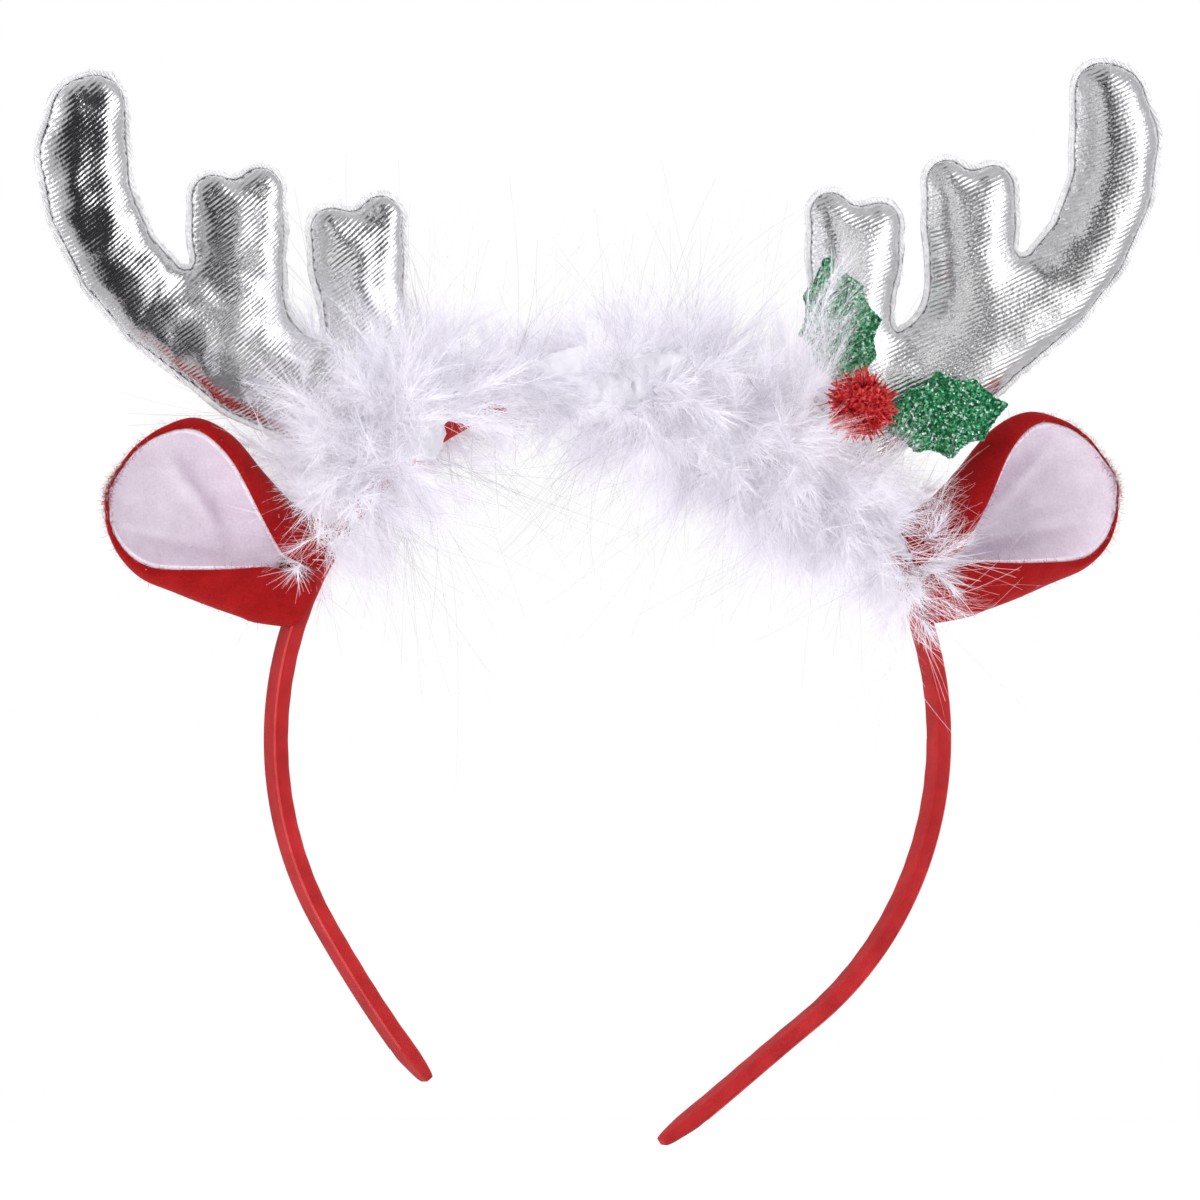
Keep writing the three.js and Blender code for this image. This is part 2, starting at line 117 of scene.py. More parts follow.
# Sections across an ear: along, rise of the middle, half height, half depth, degrees round to the edge
EAR_SECTIONS = np.array([
    (-1.0, 1.0, 10.8, 5.4, 172.0),
    (6.6, 0.8, 12.4, 6.4, 172.0),
    (10.5, 1.6, 13.2, 7.2, 166.0),
    (16.0, 3.0, 14.6, 8.2, 152.0),
    (24.0, 5.2, 16.8, 8.6, 132.0),
    (32.0, 5.8, 17.0, 7.6, 114.0),
    (38.0, 5.2, 13.8, 6.0, 102.0),
    (41.8, 4.4, 9.2, 4.4, 95.0),
    (43.5, 3.9, 5.2, 3.2, 92.0),
    (44.3, 3.6, 2.8, 2.4, 91.0),
    (44.6, 3.5, 0.9, 1.9, 90.0),
])
EAR = Sizes(
    felt=1.2, lining=1.0, gap=0.15, forward=1.5, clear=0.4, edge=0.35,
    rows=72, across=64, lining_short=5, cut_ratio=1.3,
)
EAR_WOBBLE = np.array([0.07, 0.22, 0.09])
# Creases of the lining, out from a point near the foot: degrees above the ear's axis, start, end, width
# and height
CREASE_FROM = (13.0, 1.5)
LINING_CREASES = [(30.0, 7.0, 22.0, 1.7, 2.0), (12.0, 5.0, 17.0, 1.5, 1.1), (-9.0, 4.0, 24.0, 1.4, 1.5)]
# Degrees above the horizontal where the foot meets the band, degrees that it points up, stretch
EAR_SET = {"right": (26.5, 20.0, 1.07), "left": (26.0, 19.0, 1.0)}

# The boa along the band: angle above +X, half height of its dense part, and how far its middle is lifted
BOA_SECTIONS = np.array([
    (158, 11.0, 6.0), (152, 17.0, 9.0), (146, 22.0, 12.0), (139, 26.0, 13.0), (129, 26.0, 9.0),
    (119, 13.0, 11.0), (110, 12.5, 4.0), (101, 11.5, 0.0), (91, 17.5, -2.0), (81, 21.0, 0.0),
    (70, 20.5, -4.0), (59, 24.0, -1.5), (48, 19.0, -5.5), (38, 15.0, -3.0), (29, 14.0, 3.0),
    (22, 12.0, 6.0), (16, 8.0, 3.0),
], dtype=float)
BOA = Sizes(deepest=25.0, limit=36.0)
# Longer plumes that lie over the trim and the ears: root x, y, z, aim x, y, z, reach, and how many
LOOSE_PLUMES = np.array([
    (34.5, -16.0, 0.0, 0.15, -0.1, 1.0, 25.0, 10),
    (34.0, -15.0, -4.0, 0.5, -0.1, 1.0, 12.0, 8),
    (38.0, -17.0, -1.0, 0.3, -0.1, 1.0, 17.0, 5),
    (30.0, -42.0, -8.0, 1.0, -0.1, 0.05, 5.0, 3),
    (47.0, -19.0, -17.0, 1.0, -0.1, 0.5, 16.0, 2),
    (43.0, -19.0, -18.0, 1.0, -0.1, 0.15, 11.0, 6),
    (57.0, -14.0, -34.0, 1.0, -0.1, 0.25, 16.0, 2),
    (59.0, -12.0, -40.0, 0.9, -0.1, -0.3, 16.0, 2),
    (60.0, -8.0, -44.0, 0.2, -0.1, -1.0, 17.0, 1),
    (-46.0, -14.0, -4.0, -0.5, -0.1, 1.0, 24.0, 4),
    (-55.0, -14.0, -10.0, -1.0, -0.1, 0.5, 20.0, 4),
    (-56.0, -14.0, -16.0, -1.0, -0.1, 0.1, 15.0, 4),
    (-60.0, -12.0, -26.0, -1.0, -0.1, -0.2, 12.0, 1),
])
# Long single strands from the boa's ends, in the same columns
STRAYS = np.array([
    (55.0, -17.0, -34.0, 1.0, -0.1, 0.1, 19.0, 30),
    (57.0, -16.0, -41.0, 1.0, -0.1, -0.6, 20.0, 34),
    (58.0, -9.0, -46.0, 0.4, -0.1, -1.0, 18.0, 10),
    (-55.0, -17.0, -22.0, -1.0, -0.1, -0.4, 15.0, 26),
    (-54.0, -15.0, -12.0, -1.0, -0.1, 0.6, 18.0, 22),
])

# Spikes of a leaf: place along its rib, and half its width there
LEAF_SPIKES = [(0.0, 1.8), (5.0, 6.4), (12.0, 8.8), (19.5, 6.2), (26.0, 0.15)]
LEAF_LENGTH = LEAF_SPIKES[-1][0]
LEAF = Sizes(thickness=2.0, hollow=0.7, dish=0.5)
# Stalk, degrees that the leaf points above +X, degrees that it leans back
LEAF_SET = {
    "holly_leaf_upper": ((47.6, -9.4, 1.2), 100.0, 4.0),
    "holly_leaf_lower": ((55.6, -10.6, -6.4), 9.0, 4.0),
}
BERRY = Sizes(centre=np.array([45.9, -20.2, -2.8]), core=5.2, reach=7.8)

# Shares of the barbs that stay where they would hide something behind them
VEIL = Sizes(berry=0.1, berry_left=0.5, gap=0.03, ear=0.06, depth_weight=0.3)
BERRY_BARE_FROM = BERRY.centre[0] - 3
# For each leaf the shares left and right of its rib, and the half width that is cleared along it
LEAF_VEIL = {"holly_leaf_upper": (0.6, 0.12), "holly_leaf_lower": (0.06, 0.05)}
LEAF_CLEAR = np.array([(-2, 0), (0, 3), (5, 7), (12, 8.5), (19.5, 6), (26, 1)], dtype=float)
# Where the barbs part and the band shows through, and the middle of an ear's mouth in the ear's own frame
BOA_GAP = Sizes(middle=np.array([-39.4, 0.0, -11.8]), radius=6.2)
EAR_MOUTH = Sizes(middle=np.array([28.0, 0.0, 5.0]), radius=16)

# Lights: azimuth, elevation, distance, width, height in metres, power, and whether shiny surfaces mirror
# the light, which then lights nothing else
LIGHTS = {
    "key": (-60.0, 20.0, 0.9, 0.6, 1.0, 4.9, False),
    "right": (80.0, 12.0, 0.9, 0.35, 1.0, 4.4, False),
    "top": (-10.0, 72.0, 0.9, 1.0, 0.6, 4.0, False),
    "rear": (165.0, 30.0, 1.1, 0.9, 0.6, 3.2, False),
    "right_strip": (57.0, 8.0, 0.9, 0.3, 0.9, 1.8, True),
    "left_strip": (-108.0, 8.0, 0.9, 0.26, 0.9, 1.2, True),
    "fill": (52.0, 5.0, 0.371, 0.24, 0.7, 0.36, True),
    "card_inner": (7.8, 13.0, 0.124, 0.034, 0.26, 0.031, True),
    "card_outer": (30.8, 11.0, 0.143, 0.034, 0.26, 0.031, True),
    "left_card": (-58.3, 12.0, 0.097, 0.024, 0.11, 0.0095, True),
}
# The room that shiny surfaces mirror, from its far side (0) to its dark side (1) in front of the object
ROOM_AZIMUTH = 6.0
ROOM = [
    (0.01, (0.16, 0.16, 0.17, 1)), (0.1, (0.75, 0.75, 0.76, 1)), (0.2, (0.5, 0.5, 0.51, 1)),
    (0.36, (0.45, 0.45, 0.46, 1)), (0.5, (0.55, 0.55, 0.57, 1)), (0.68, (0.5, 0.5, 0.51, 1)),
    (0.88, (0.015, 0.015, 0.018, 1)),
]


# Points and directions

def xyz(x, y, z):
    """Points from their coordinates, in the last axis."""
    return np.stack(np.broadcast_arrays(x, y, z), axis=-1)


def polar(angle, radius, y=0.0):
    """Points in the band's plane at an angle in degrees above +X."""
    a = np.radians(angle)
    return xyz(BAND.shift + radius * np.cos(a), y, CENTRE_Z + radius * np.sin(a))


def unit(v):
    return v / np.maximum(np.linalg.norm(v, axis=-1, keepdims=True), 1e-9)


def outward(angle):
    """Directions out from the middle of the ring at these angles."""
    return unit(polar(angle, BAND.radius) - polar(angle, 0.0))


def turned(x, z, degrees):
    """Coordinates along and across a direction that points degrees above +X."""
    c, s = math.cos(math.radians(degrees)), math.sin(math.radians(degrees))
    return x * c + z * s, z * c - x * s


def random_units(count):
    return unit(rng.normal(size=(count, 3)))


def soft_limit(value, limit):
    """The value, eased so that it never passes the limit either way."""
    return limit * np.tanh(value / limit)


def smooth_rows(rows, count):
    """Rows of numbers again, count of them, on a smooth curve through the given ones."""
    rows = np.asarray(rows, float)
    at = np.linspace(0, len(rows) - 1, count)
    i = np.clip(at.astype(int), 0, len(rows) - 2)
    t = (at - i)[:, None]
    before = rows[np.maximum(i - 1, 0)]
    after = rows[np.minimum(i + 2, len(rows) - 1)]
    a, b = rows[i], rows[i + 1]
    return 0.5 * (
        2 * a + (b - before) * t + (2 * before - 5 * a + 4 * b - after) * t**2
        + (3 * (a - b) + after - before) * t**3
    )


# Meshes

def add_object(name, data):
    thing = bpy.data.objects.new(name, data)
    bpy.context.collection.objects.link(thing)
    return thing


def mesh_piece(name, points, faces, material, smooth=True):
    """A piece from points in millimetres and an array of faces with equally many corners."""
    points = np.asarray(points, np.float32) * MM
    faces = np.asarray(faces, np.int32)
    mesh = bpy.data.meshes.new(name)
    mesh.vertices.add(len(points))
    mesh.vertices.foreach_set("co", points.ravel())
    mesh.loops.add(faces.size)
    mesh.loops.foreach_set("vertex_index", faces.ravel())
    mesh.polygons.add(len(faces))
    mesh.polygons.foreach_set("loop_start", np.arange(0, faces.size, faces.shape[1], dtype=np.int32))
    mesh.polygons.foreach_set("use_smooth", np.full(len(faces), smooth))
    mesh.update(calc_edges=True)
    mesh.materials.append(material)
    piece = add_object(name, mesh)
    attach(piece, "root")
    return piece


def tube_faces(rings, count):
    """Quads between rings of count points each."""
    ring = np.arange(rings - 1)[:, None] * count
    k = np.arange(count)[None, :]
    after = (k + 1) % count
    corners = [ring + k, ring + after, ring + count + after, ring + count + k]
    return np.stack(corners, axis=-1).reshape(-1, 4)


def tube_with_caps(rings, count):
    """Quads of a closed tube, each end closed by a strip between the two halves of its ring."""
    k = np.arange(count // 2 - 1)
    cap = np.stack([k + 1, k, count - 1 - k, count - 2 - k], axis=1)
    end_cap = (cap + (rings - 1) * count)[:, ::-1]
    return np.concatenate([tube_faces(rings, count), cap, end_cap])


def ribbons(name, paths, widths, material):
    """Thin flat strands: paths of shape (strands, points, 3) and widths of shape (strands, points)."""
    strands, count, _ = paths.shape
    along = unit(np.gradient(paths, axis=1))
    side = unit(np.cross(along, random_units(strands)[:, None, :]))
    half = side * (widths / 2)[..., None]
    points = np.stack([paths - half, paths + half], axis=2).reshape(-1, 3)
    first = (np.arange(strands)[:, None] * count + np.arange(count - 1)[None, :]) * 2
    faces = np.stack([first, first + 1, first + 3, first + 2], axis=-1).reshape(-1, 4)
    return mesh_piece(name, points, faces, material)


# Materials: sizes in metres, scales in repeats to the metre

class Nodes:
    """The node tree of a material or a world, with short ways to add and link nodes."""

    def __init__(self, owner):
        owner.use_nodes = True
        self.owner = owner
        self.tree = owner.node_tree
        self.shader = self.tree.nodes.get("Principled BSDF")

    def add(self, kind, inputs=None, **settings):
        node = self.tree.nodes.new(kind)
        for key, value in settings.items():
            setattr(node, key, value)
        for key, value in (inputs or {}).items():
            if isinstance(value, bpy.types.NodeSocket):
                self.link(value, node.inputs[key])
            else:
                node.inputs[key].default_value = value
        return node

    def link(self, a, b):
        self.tree.links.new(a, b)

    def colour(self, factor, stops):
        """Colours the surface by a ramp."""
        self.link(self.ramp(factor, stops), self.shader.inputs["Base Color"])

    def place(self, turn=0.0):
        """Object coordinates in metres, turned about the depth by degrees."""
        at = self.add("ShaderNodeTexCoord").outputs["Object"]
        inputs = {"Vector": at, "Rotation": (0, math.radians(turn), 0)}
        return self.add("ShaderNodeMapping", inputs).outputs["Vector"]

    def noise(self, scale, detail=3.0):
        inputs = {"Vector": self.place(), "Scale": scale, "Detail": detail}
        return self.add("ShaderNodeTexNoise", inputs).outputs["Fac"]

    def ramp(self, factor, stops):
        node = self.add("ShaderNodeValToRGB", {"Fac": factor})
        first, last = node.color_ramp.elements
        first.position, first.color = stops[0]
        last.position, last.color = stops[-1]
        for position, colour in stops[1:-1]:
            node.color_ramp.elements.new(position).color = colour
        return node.outputs["Color"]

    def math(self, operation, a, b):
        return self.add("ShaderNodeMath", {0: a, 1: b}, operation=operation).outputs[0]

    def vector(self, operation, a, b=None, output="Vector"):
        inputs = {0: a} if b is None else {0: a, 1: b}
        return self.add("ShaderNodeVectorMath", inputs, operation=operation).outputs[output]

    def bump(self, height, strength, distance):
        """Adds a bump over what the shader's normal already has."""
        inputs = {"Height": height, "Strength": strength, "Distance": distance}
        before = self.shader.inputs["Normal"].links
        if before:
            inputs["Normal"] = before[0].from_socket
        node = self.add("ShaderNodeBump", inputs)
        self.link(node.outputs["Normal"], self.shader.inputs["Normal"])

    def bands(self, pitch, distortion, turn):
        """Stripes that are pitch metres apart, turned by degrees."""
        scale = 2 * math.pi / (20 * pitch)
        inputs = {"Vector": self.place(turn), "Scale": scale, "Distortion": distortion, "Detail": 2.0}
        node = self.add("ShaderNodeTexWave", inputs, wave_type="BANDS", bands_direction="X")
        return node.outputs["Fac"]


def new_material(name, **values):
    """A new material's nodes, with these values on its shader."""
    n = Nodes(bpy.data.materials.new(name))
    for socket, value in values.items():
        n.shader.inputs[socket.replace("_", " ")].default_value = value
    return n


def foil_cloth(name, rib_turn, gloss):
    """Silver foil on a ribbed weave: degrees that its ribs lean, and its least and greatest roughness."""
    n = new_material(name, Metallic=1.0)
    ribs = n.bands(pitch=0.00085, distortion=1.5, turn=rib_turn)
    rub = n.noise(140.0, 4.0)
    n.colour(rub, [(0.3, (0.86, 0.855, 0.87, 1)), (0.7, (0.95, 0.95, 0.96, 1))])
    rough = n.add("ShaderNodeMapRange", {"Value": rub, "To Min": gloss[0], "To Max": gloss[1]})
    n.link(rough.outputs["Result"], n.shader.inputs["Roughness"])
    n.bump(ribs, strength=0.4, distance=0.0002)
    n.bump(n.noise(1500.0), strength=0.6, distance=0.0002)
    n.bump(n.noise(320.0), strength=0.16, distance=0.0006)
    return n.owner


def border_cloth(name):
    """The cut border of the foil cloth: the same weave, scuffed pale."""
    n = new_material(name, Metallic=0.2, Roughness=0.5)
    n.colour(n.noise(900.0), [(0.3, (0.74, 0.735, 0.75, 1)), (0.65, (0.95, 0.945, 0.955, 1))])
    n.bump(n.bands(pitch=0.0006, distortion=1.5, turn=38.0), strength=0.4, distance=0.0002)
    return n.owner


def felt(name, dark, light):
    """Pressed fibres: mottled colour and a tangled bump."""
    n = new_material(name, Roughness=1.0, Specular_IOR_Level=0.12, Sheen_Weight=0.06, Sheen_Roughness=0.4)
    fibres = n.noise(2200.0, 5.0)
    clouds = n.noise(240.0, 4.0)
    mixed = n.math("ADD", n.math("MULTIPLY", fibres, 0.5), n.math("MULTIPLY", clouds, 0.5))
    n.colour(mixed, [(0.36, dark), (0.64, light)])
    n.bump(fibres, strength=0.5, distance=0.0003)
    n.bump(clouds, strength=0.25, distance=0.0008)
    return n.owner


def satin(name, dark, light):
    """Red satin with a fine slanting weave and long soft folds, whose colour is painted darker in their
    hollows and lighter on their crests: painted shade and sheen.
    """
    n = new_material(name, Roughness=0.48, Specular_IOR_Level=0.22, Sheen_Weight=0.02)
    folds = n.noise(160.0)
    # Painted shade and sheen: darker in the folds' hollows, lighter on their crests.
    n.colour(folds, [(0.3, dark), (0.7, light)])
    n.bump(n.bands(pitch=0.0004, distortion=0.4, turn=45.0), strength=0.12, distance=0.0002)
    n.bump(n.noise(2600.0, 2.0), strength=0.08, distance=0.0002)
    n.bump(folds, strength=0.3, distance=0.0008)
    return n.owner


def feather(name, root, tip, painted_glow):
    """Down that lets light through; its emission is painted light that stands in for that light."""
    painted_glow_tint = (0.93, 0.91, 0.96, 1)
    n = new_material(name, Roughness=0.75, Sheen_Weight=0.2, Emission_Color=painted_glow_tint, Emission_Strength=painted_glow)
    n.colour(n.noise(120.0), [(0.3, root), (0.7, tip)])
    return n.owner


def glitter(name, stops, metallic):
    """Flecks a fraction of a millimetre across, each its own tone; where the ramp runs to near white,
    those pale flecks are painted glints.
    """
    n = new_material(name, Metallic=metallic, Roughness=0.3)
    cells = n.add("ShaderNodeTexVoronoi", {"Vector": n.place(), "Scale": 2000.0})
    tone = n.add("ShaderNodeSeparateColor", {"Color": cells.outputs["Color"]}).outputs["Red"]
    n.colour(tone, stops)
    n.bump(tone, strength=0.7, distance=0.0003)
    return n.owner


def tinsel(name):
    """Shiny red film, darker and paler from strip to strip."""
    n = new_material(name, Metallic=0.4, Roughness=0.32)
    n.colour(n.noise(1500.0, 1.0), [(0.38, (0.5, 0.008, 0.01, 1)), (0.68, (0.95, 0.13, 0.14, 1))])
    return n.owner


SATIN = satin("red_satin", (0.35, 0.007, 0.009, 1), (0.48, 0.015, 0.017, 1))
# A lighter copy of the satin for the sleeve's folded edges: a painted highlight.
RIDGE_PAINTED_HIGHLIGHT = satin("satin_edge_painted_highlight", (0.5, 0.03, 0.033, 1), (0.66, 0.06, 0.064, 1))
FOIL = {
    "right": foil_cloth("foil_right", 113.0, (0.18, 0.28)),
    "left": foil_cloth("foil_left", 128.0, (0.2, 0.32)),
}
BORDER = border_cloth("foil_border")
FELT = felt("red_felt", (0.27, 0.004, 0.005, 1), (0.37, 0.009, 0.01, 1))
PLUSH = felt("pale_felt", (0.74, 0.64, 0.74, 1), (0.86, 0.78, 0.86, 1))
# The last number of each feather is its emission: painted light, weaker on the down and none on the
# wisps.
FEATHER = feather("feather", (0.8, 0.77, 0.84, 1), (0.88, 0.86, 0.91, 1), 0.11)
# The down is the feather in darker tones: painted shade, as it lies in the barbs' shadow.
DOWN_PAINTED_SHADE = feather("feather_down_painted_shade", (0.74, 0.72, 0.78, 1), (0.82, 0.8, 0.86, 1), 0.06)
WISP = feather("feather_wisp", (0.6, 0.57, 0.62, 1), (0.72, 0.7, 0.74, 1), 0.0)
LEAF_FOAM = glitter("leaf_foam", [(0.15, (0.003, 0.05, 0.016, 1)), (0.85, (0.03, 0.25, 0.09, 1))], 0.2)
# The flakes run from dark green to near white; the near-white ones are painted glints.
LEAF_FLAKE = glitter("leaf_flake", [
    (0.1, (0.006, 0.14, 0.05, 1)), (0.6, (0.05, 0.48, 0.2, 1)),
    (0.84, (0.25, 0.75, 0.45, 1)), (0.93, (0.9, 1, 0.94, 1)),
], 0.6)
TINSEL = tinsel("red_tinsel")


# Band

def band_middle(theta):
    """The strip's middle line: a ring that opens out towards its tips."""
    past = np.maximum(0, np.abs(theta) - BAND.straight_from)
    gain = np.where(theta < 0, BAND.gain_right, BAND.gain_left)
    return polar(90 - BAND.lean + theta, BAND.radius + gain * past**2)


def band_section():
    """The strip's section in order round it, as depth and reach out from the ring."""
    corner = BAND.corner
    section = []
    for quarter, (side_y, side_out) in enumerate([(1, 1), (-1, 1), (-1, -1), (1, -1)]):
        for turn in np.radians(90 * quarter + np.linspace(0, 90, BAND.corner_steps)):
            y = side_y * (BAND.width / 2 - corner) + corner * math.cos(turn)
            reach = side_out * (BAND.thickness / 2 - corner) + corner * math.sin(turn)
            section.append((y, reach))
    return np.array(section)


def sleeve_size(theta, turn):
    """The section's size at each ring and point round it: it narrows and folds at the tips."""
    from_tip = (BAND.tip_angle - np.abs(theta)) * math.radians(BAND.radius)
    tip_share, taper, fold_count, fold_height, fold_length = 0.52, 5.5, 9, 0.16, 3.0
    share = tip_share + (1 - tip_share) * np.clip(from_tip / taper, 0, 1) ** 0.6
    gather = fold_height * np.exp(-from_tip / fold_length)
    folds = np.sin(turn[None, :] * fold_count + np.sign(theta)[:, None])
    ripple = 0.012 * np.sin(from_tip[:, None] * 1.1 + 3 * turn[None, :])
    return share[:, None] * (1 + gather[:, None] * folds + ripple)


def make_fold(name, side, middle, out):
    """A fold along one outer edge of the sleeve, a real ridge in a lighter satin that is a painted
    highlight; side is -1 in front and 1 behind.
    """
    inset, half_width, rise, sink, rings_short = 0.22, 0.3, 0.12, 0.2, 12
    off = unit(out + side * DEPTH)
    across = unit(out - side * DEPTH) * half_width
    edge = middle + out * (BAND.thickness / 2 - inset)
    edge = edge + side * DEPTH * (BAND.width / 2 - inset)
    lines = [edge - across, edge + off * rise, edge + across, edge - off * sink]
    rings = np.stack(lines, axis=1)[rings_short:-rings_short]
    if side < 0:
        rings = rings[:, ::-1]
    mesh_piece(name, rings.reshape(-1, 3), tube_with_caps(len(rings), len(lines)), RIDGE_PAINTED_HIGHLIGHT)


def make_band():
    """The strip in its satin sleeve: sharp folded edges, and puckered ends."""
    theta = np.linspace(-BAND.tip_angle, BAND.tip_angle, BAND.rings)
    middle = band_middle(theta)
    step = 0.05
    along = unit(band_middle(theta + step) - band_middle(theta - step))
    out = xyz(along[:, 2], 0.0, -along[:, 0])
    section = band_section()
    size = sleeve_size(theta, np.arctan2(section[:, 1], section[:, 0]))
    points = middle[:, None, :] + out[:, None, :] * (section[None, :, 1] * size)[..., None]
    points = points + DEPTH * (section[None, :, 0] * size)[..., None]
    faces = tube_with_caps(len(theta), len(section))
    piece = mesh_piece("band_satin", points.reshape(-1, 3), faces, SATIN)
    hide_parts("band")
    for name, side in (("front", -1), ("back", 1)):
        make_fold(f"band_ridge_{name}", side, middle, out)


# Antlers

def limb_distance(p):
    """Signed distance in the plane from points (n, 2) to the right antler's outline, below 0 inside."""
    total = np.full(len(p), 1e9)
    for rows in ANTLER_LIMBS.values():
        limb = np.full(len(p), 1e9)
        for (ax, az, ar), (bx, bz, br) in zip(rows, rows[1:]):
            a, b = np.array([ax, az]), np.array([bx, bz])
            t = np.clip((p - a) @ (b - a) / ((b - a) @ (b - a)), 0, 1)
            gap = np.linalg.norm(p - a - t[:, None] * (b - a), axis=1) - (ar + t * (br - ar))
            limb = np.minimum(limb, gap)
        blend = np.clip(0.5 + 0.5 * (total - limb) / ANTLER.fillet, 0, 1)
        total = total * (1 - blend) + limb * blend - ANTLER.fillet * blend * (1 - blend)
    return total


def slope(distance, p, step=0.05):
    """The direction in which a distance grows fastest."""
    dx = distance(p + [step, 0]) - distance(p - [step, 0])
    dz = distance(p + [0, step]) - distance(p - [0, step])
    return unit(np.stack([dx, dz], axis=1))


def edges_of(triangles):
    """The edges of triangles, each once, and how many triangles use it."""
    pairs = np.concatenate([triangles[:, [0, 1]], triangles[:, [1, 2]], triangles[:, [2, 0]]])
    return np.unique(np.sort(pairs, axis=1), axis=0, return_counts=True)


def relaxed(points, edges, fixed, rounds):
    """Points after rounds of moving each one that isn't fixed half way to the mean of its neighbours."""
    points = points.copy()
    free = np.ones(len(points), bool)
    free[fixed] = False
    uses = np.bincount(edges.ravel(), minlength=len(points))[:, None]
    for _ in range(rounds):
        total = np.zeros_like(points)
        np.add.at(total, edges[:, 0], points[edges[:, 1]])
        np.add.at(total, edges[:, 1], points[edges[:, 0]])
        points[free] = (0.5 * points + 0.5 * total / uses)[free]
    return points


def triangle_grid(low, high, spacing):
    """Points (n, 2) of an even triangle grid over a rectangle, and its triangles."""
    rows = int((high[1] - low[1]) / (spacing * TRIANGLE_HEIGHT)) + 2
    columns = int((high[0] - low[0]) / spacing) + 2
    j, i = np.mgrid[0:rows, 0:columns]
    x = low[0] + (i + 0.5 * (j % 2)) * spacing
    z = low[1] + j * spacing * TRIANGLE_HEIGHT
    a = (j * columns + i)[:-1, :-1].ravel()
    odd = (j % 2)[:-1, :-1].ravel().astype(bool)[:, None]
    b, c, d = a + 1, a + columns, a + columns + 1
    lower = np.where(odd, np.stack([a, b, d], 1), np.stack([a, b, c], 1))
    upper = np.where(odd, np.stack([a, d, c], 1), np.stack([b, d, c], 1))
    return np.stack([x, z], axis=-1).reshape(-1, 2), np.concatenate([lower, upper])


def without_loose_corners(triangles, count, rounds=6):
    """The triangles without those that hang on by a corner or lie wholly on the rim."""
    for _ in range(rounds):
        edges, uses = edges_of(triangles)
        ends = np.bincount(edges[uses == 1].ravel(), minlength=count)
        loose = (ends > 2)[triangles].any(axis=1) | (ends > 0)[triangles].all(axis=1)
        if not loose.any():
            break
        triangles = triangles[~loose]
    return triangles


def rim_order(edges):
    """The longest closed loop of these edges, as points in order."""
    links = {}
    for a, b in edges.tolist():
        links.setdefault(a, []).append(b)
        links.setdefault(b, []).append(a)
    loops = []
    left = set(links)
    while left:
        here = left.pop()
        loop = [here]
        onward = [q for q in links[here] if q in left]
        while onward:
            here = onward[0]
            left.discard(here)
            loop.append(here)
            onward = [q for q in links[here] if q in left]
        loops.append(loop)
    return np.array(max(loops, key=len))


def flat_panel(distance, spacing):
    """Even triangles over where distance is below 0: points (n, 2), triangles, and the rim in order."""
    overlap, snaps, rounds = 0.3, 5, 12
    p, triangles = triangle_grid(*ANTLER_BOX, spacing)
    inside = distance(p) < overlap * spacing
    triangles = without_loose_corners(triangles[inside[triangles].all(axis=1)], len(p))
    used, triangles = np.unique(triangles, return_inverse=True)
    triangles = triangles.reshape(-1, 3)
    p = p[used]
    edges, uses = edges_of(triangles)
    rim = rim_order(edges[uses == 1])
    for _ in range(snaps):
        p[rim] -= slope(distance, p[rim]) * distance(p[rim])[:, None]
    return relaxed(p, edges, rim, rounds), triangles, rim


def sewn_panels(flat, triangles, rim, inside):
    """A front and a back panel that share the rim, a little domed: points (n, 3) and faces."""
    count, rise, rise_width = len(flat), 2.0, 8.0
    on_rim = np.zeros(count, bool)
    on_rim[rim] = True
    dome = np.where(on_rim, 0, rise * np.sqrt(np.clip(inside, 0, rise_width)))
    front = xyz(flat[:, 0], -dome, flat[:, 1])
    back = (front * [1, -1, 1])[~on_rim]
    back_of = np.arange(count)
    back_of[~on_rim] = count + np.arange(len(back))
    faces = np.concatenate([triangles, back_of[triangles][:, ::-1]])
    return np.concatenate([front, back]), faces


def inflate(points, triangles, pinned):
    """Blows the sewn panels up as cloth, with the seam held, and returns the points."""
    mesh = bpy.data.meshes.new("sewn_panels")
    mesh.from_pydata((points * CLOTH_SCALE).tolist(), [], triangles.tolist())
    panels = add_object("sewn_panels", mesh)
    panels.vertex_groups.new(name="seam").add(pinned.tolist(), 1.0, "REPLACE")
    cloth = panels.modifiers.new("cloth", "CLOTH")
    for key, value in CLOTH.items():
        setattr(cloth.settings, key, value)
    cloth.settings.effector_weights.gravity = 0
    cloth.collision_settings.use_collision = False
    cloth.point_cache.frame_start = 1
    cloth.point_cache.frame_end = CLOTH_STEPS
    scene = bpy.context.scene
    for step in range(1, CLOTH_STEPS + 1):
        scene.frame_set(step)
    shown = panels.evaluated_get(bpy.context.evaluated_depsgraph_get())
    blown = np.array([v.co for v in shown.data.vertices]) / CLOTH_SCALE
    scene.frame_set(1)
    bpy.data.objects.remove(panels)
    bpy.data.meshes.remove(mesh)
    return blown


def crumple(points):
    """Shallow wrinkles that wander and cross, as waves about 0."""
    x, y, z = points.T
    waves = np.zeros(len(points))
    for degrees, length, share in WRINKLES:
        along, across = turned(x, z, degrees)
        wander = 1.6 * np.sin(0.42 * across + degrees + np.sign(y))
        waves += share * np.sin(2 * np.pi * along / length + wander)
    return waves


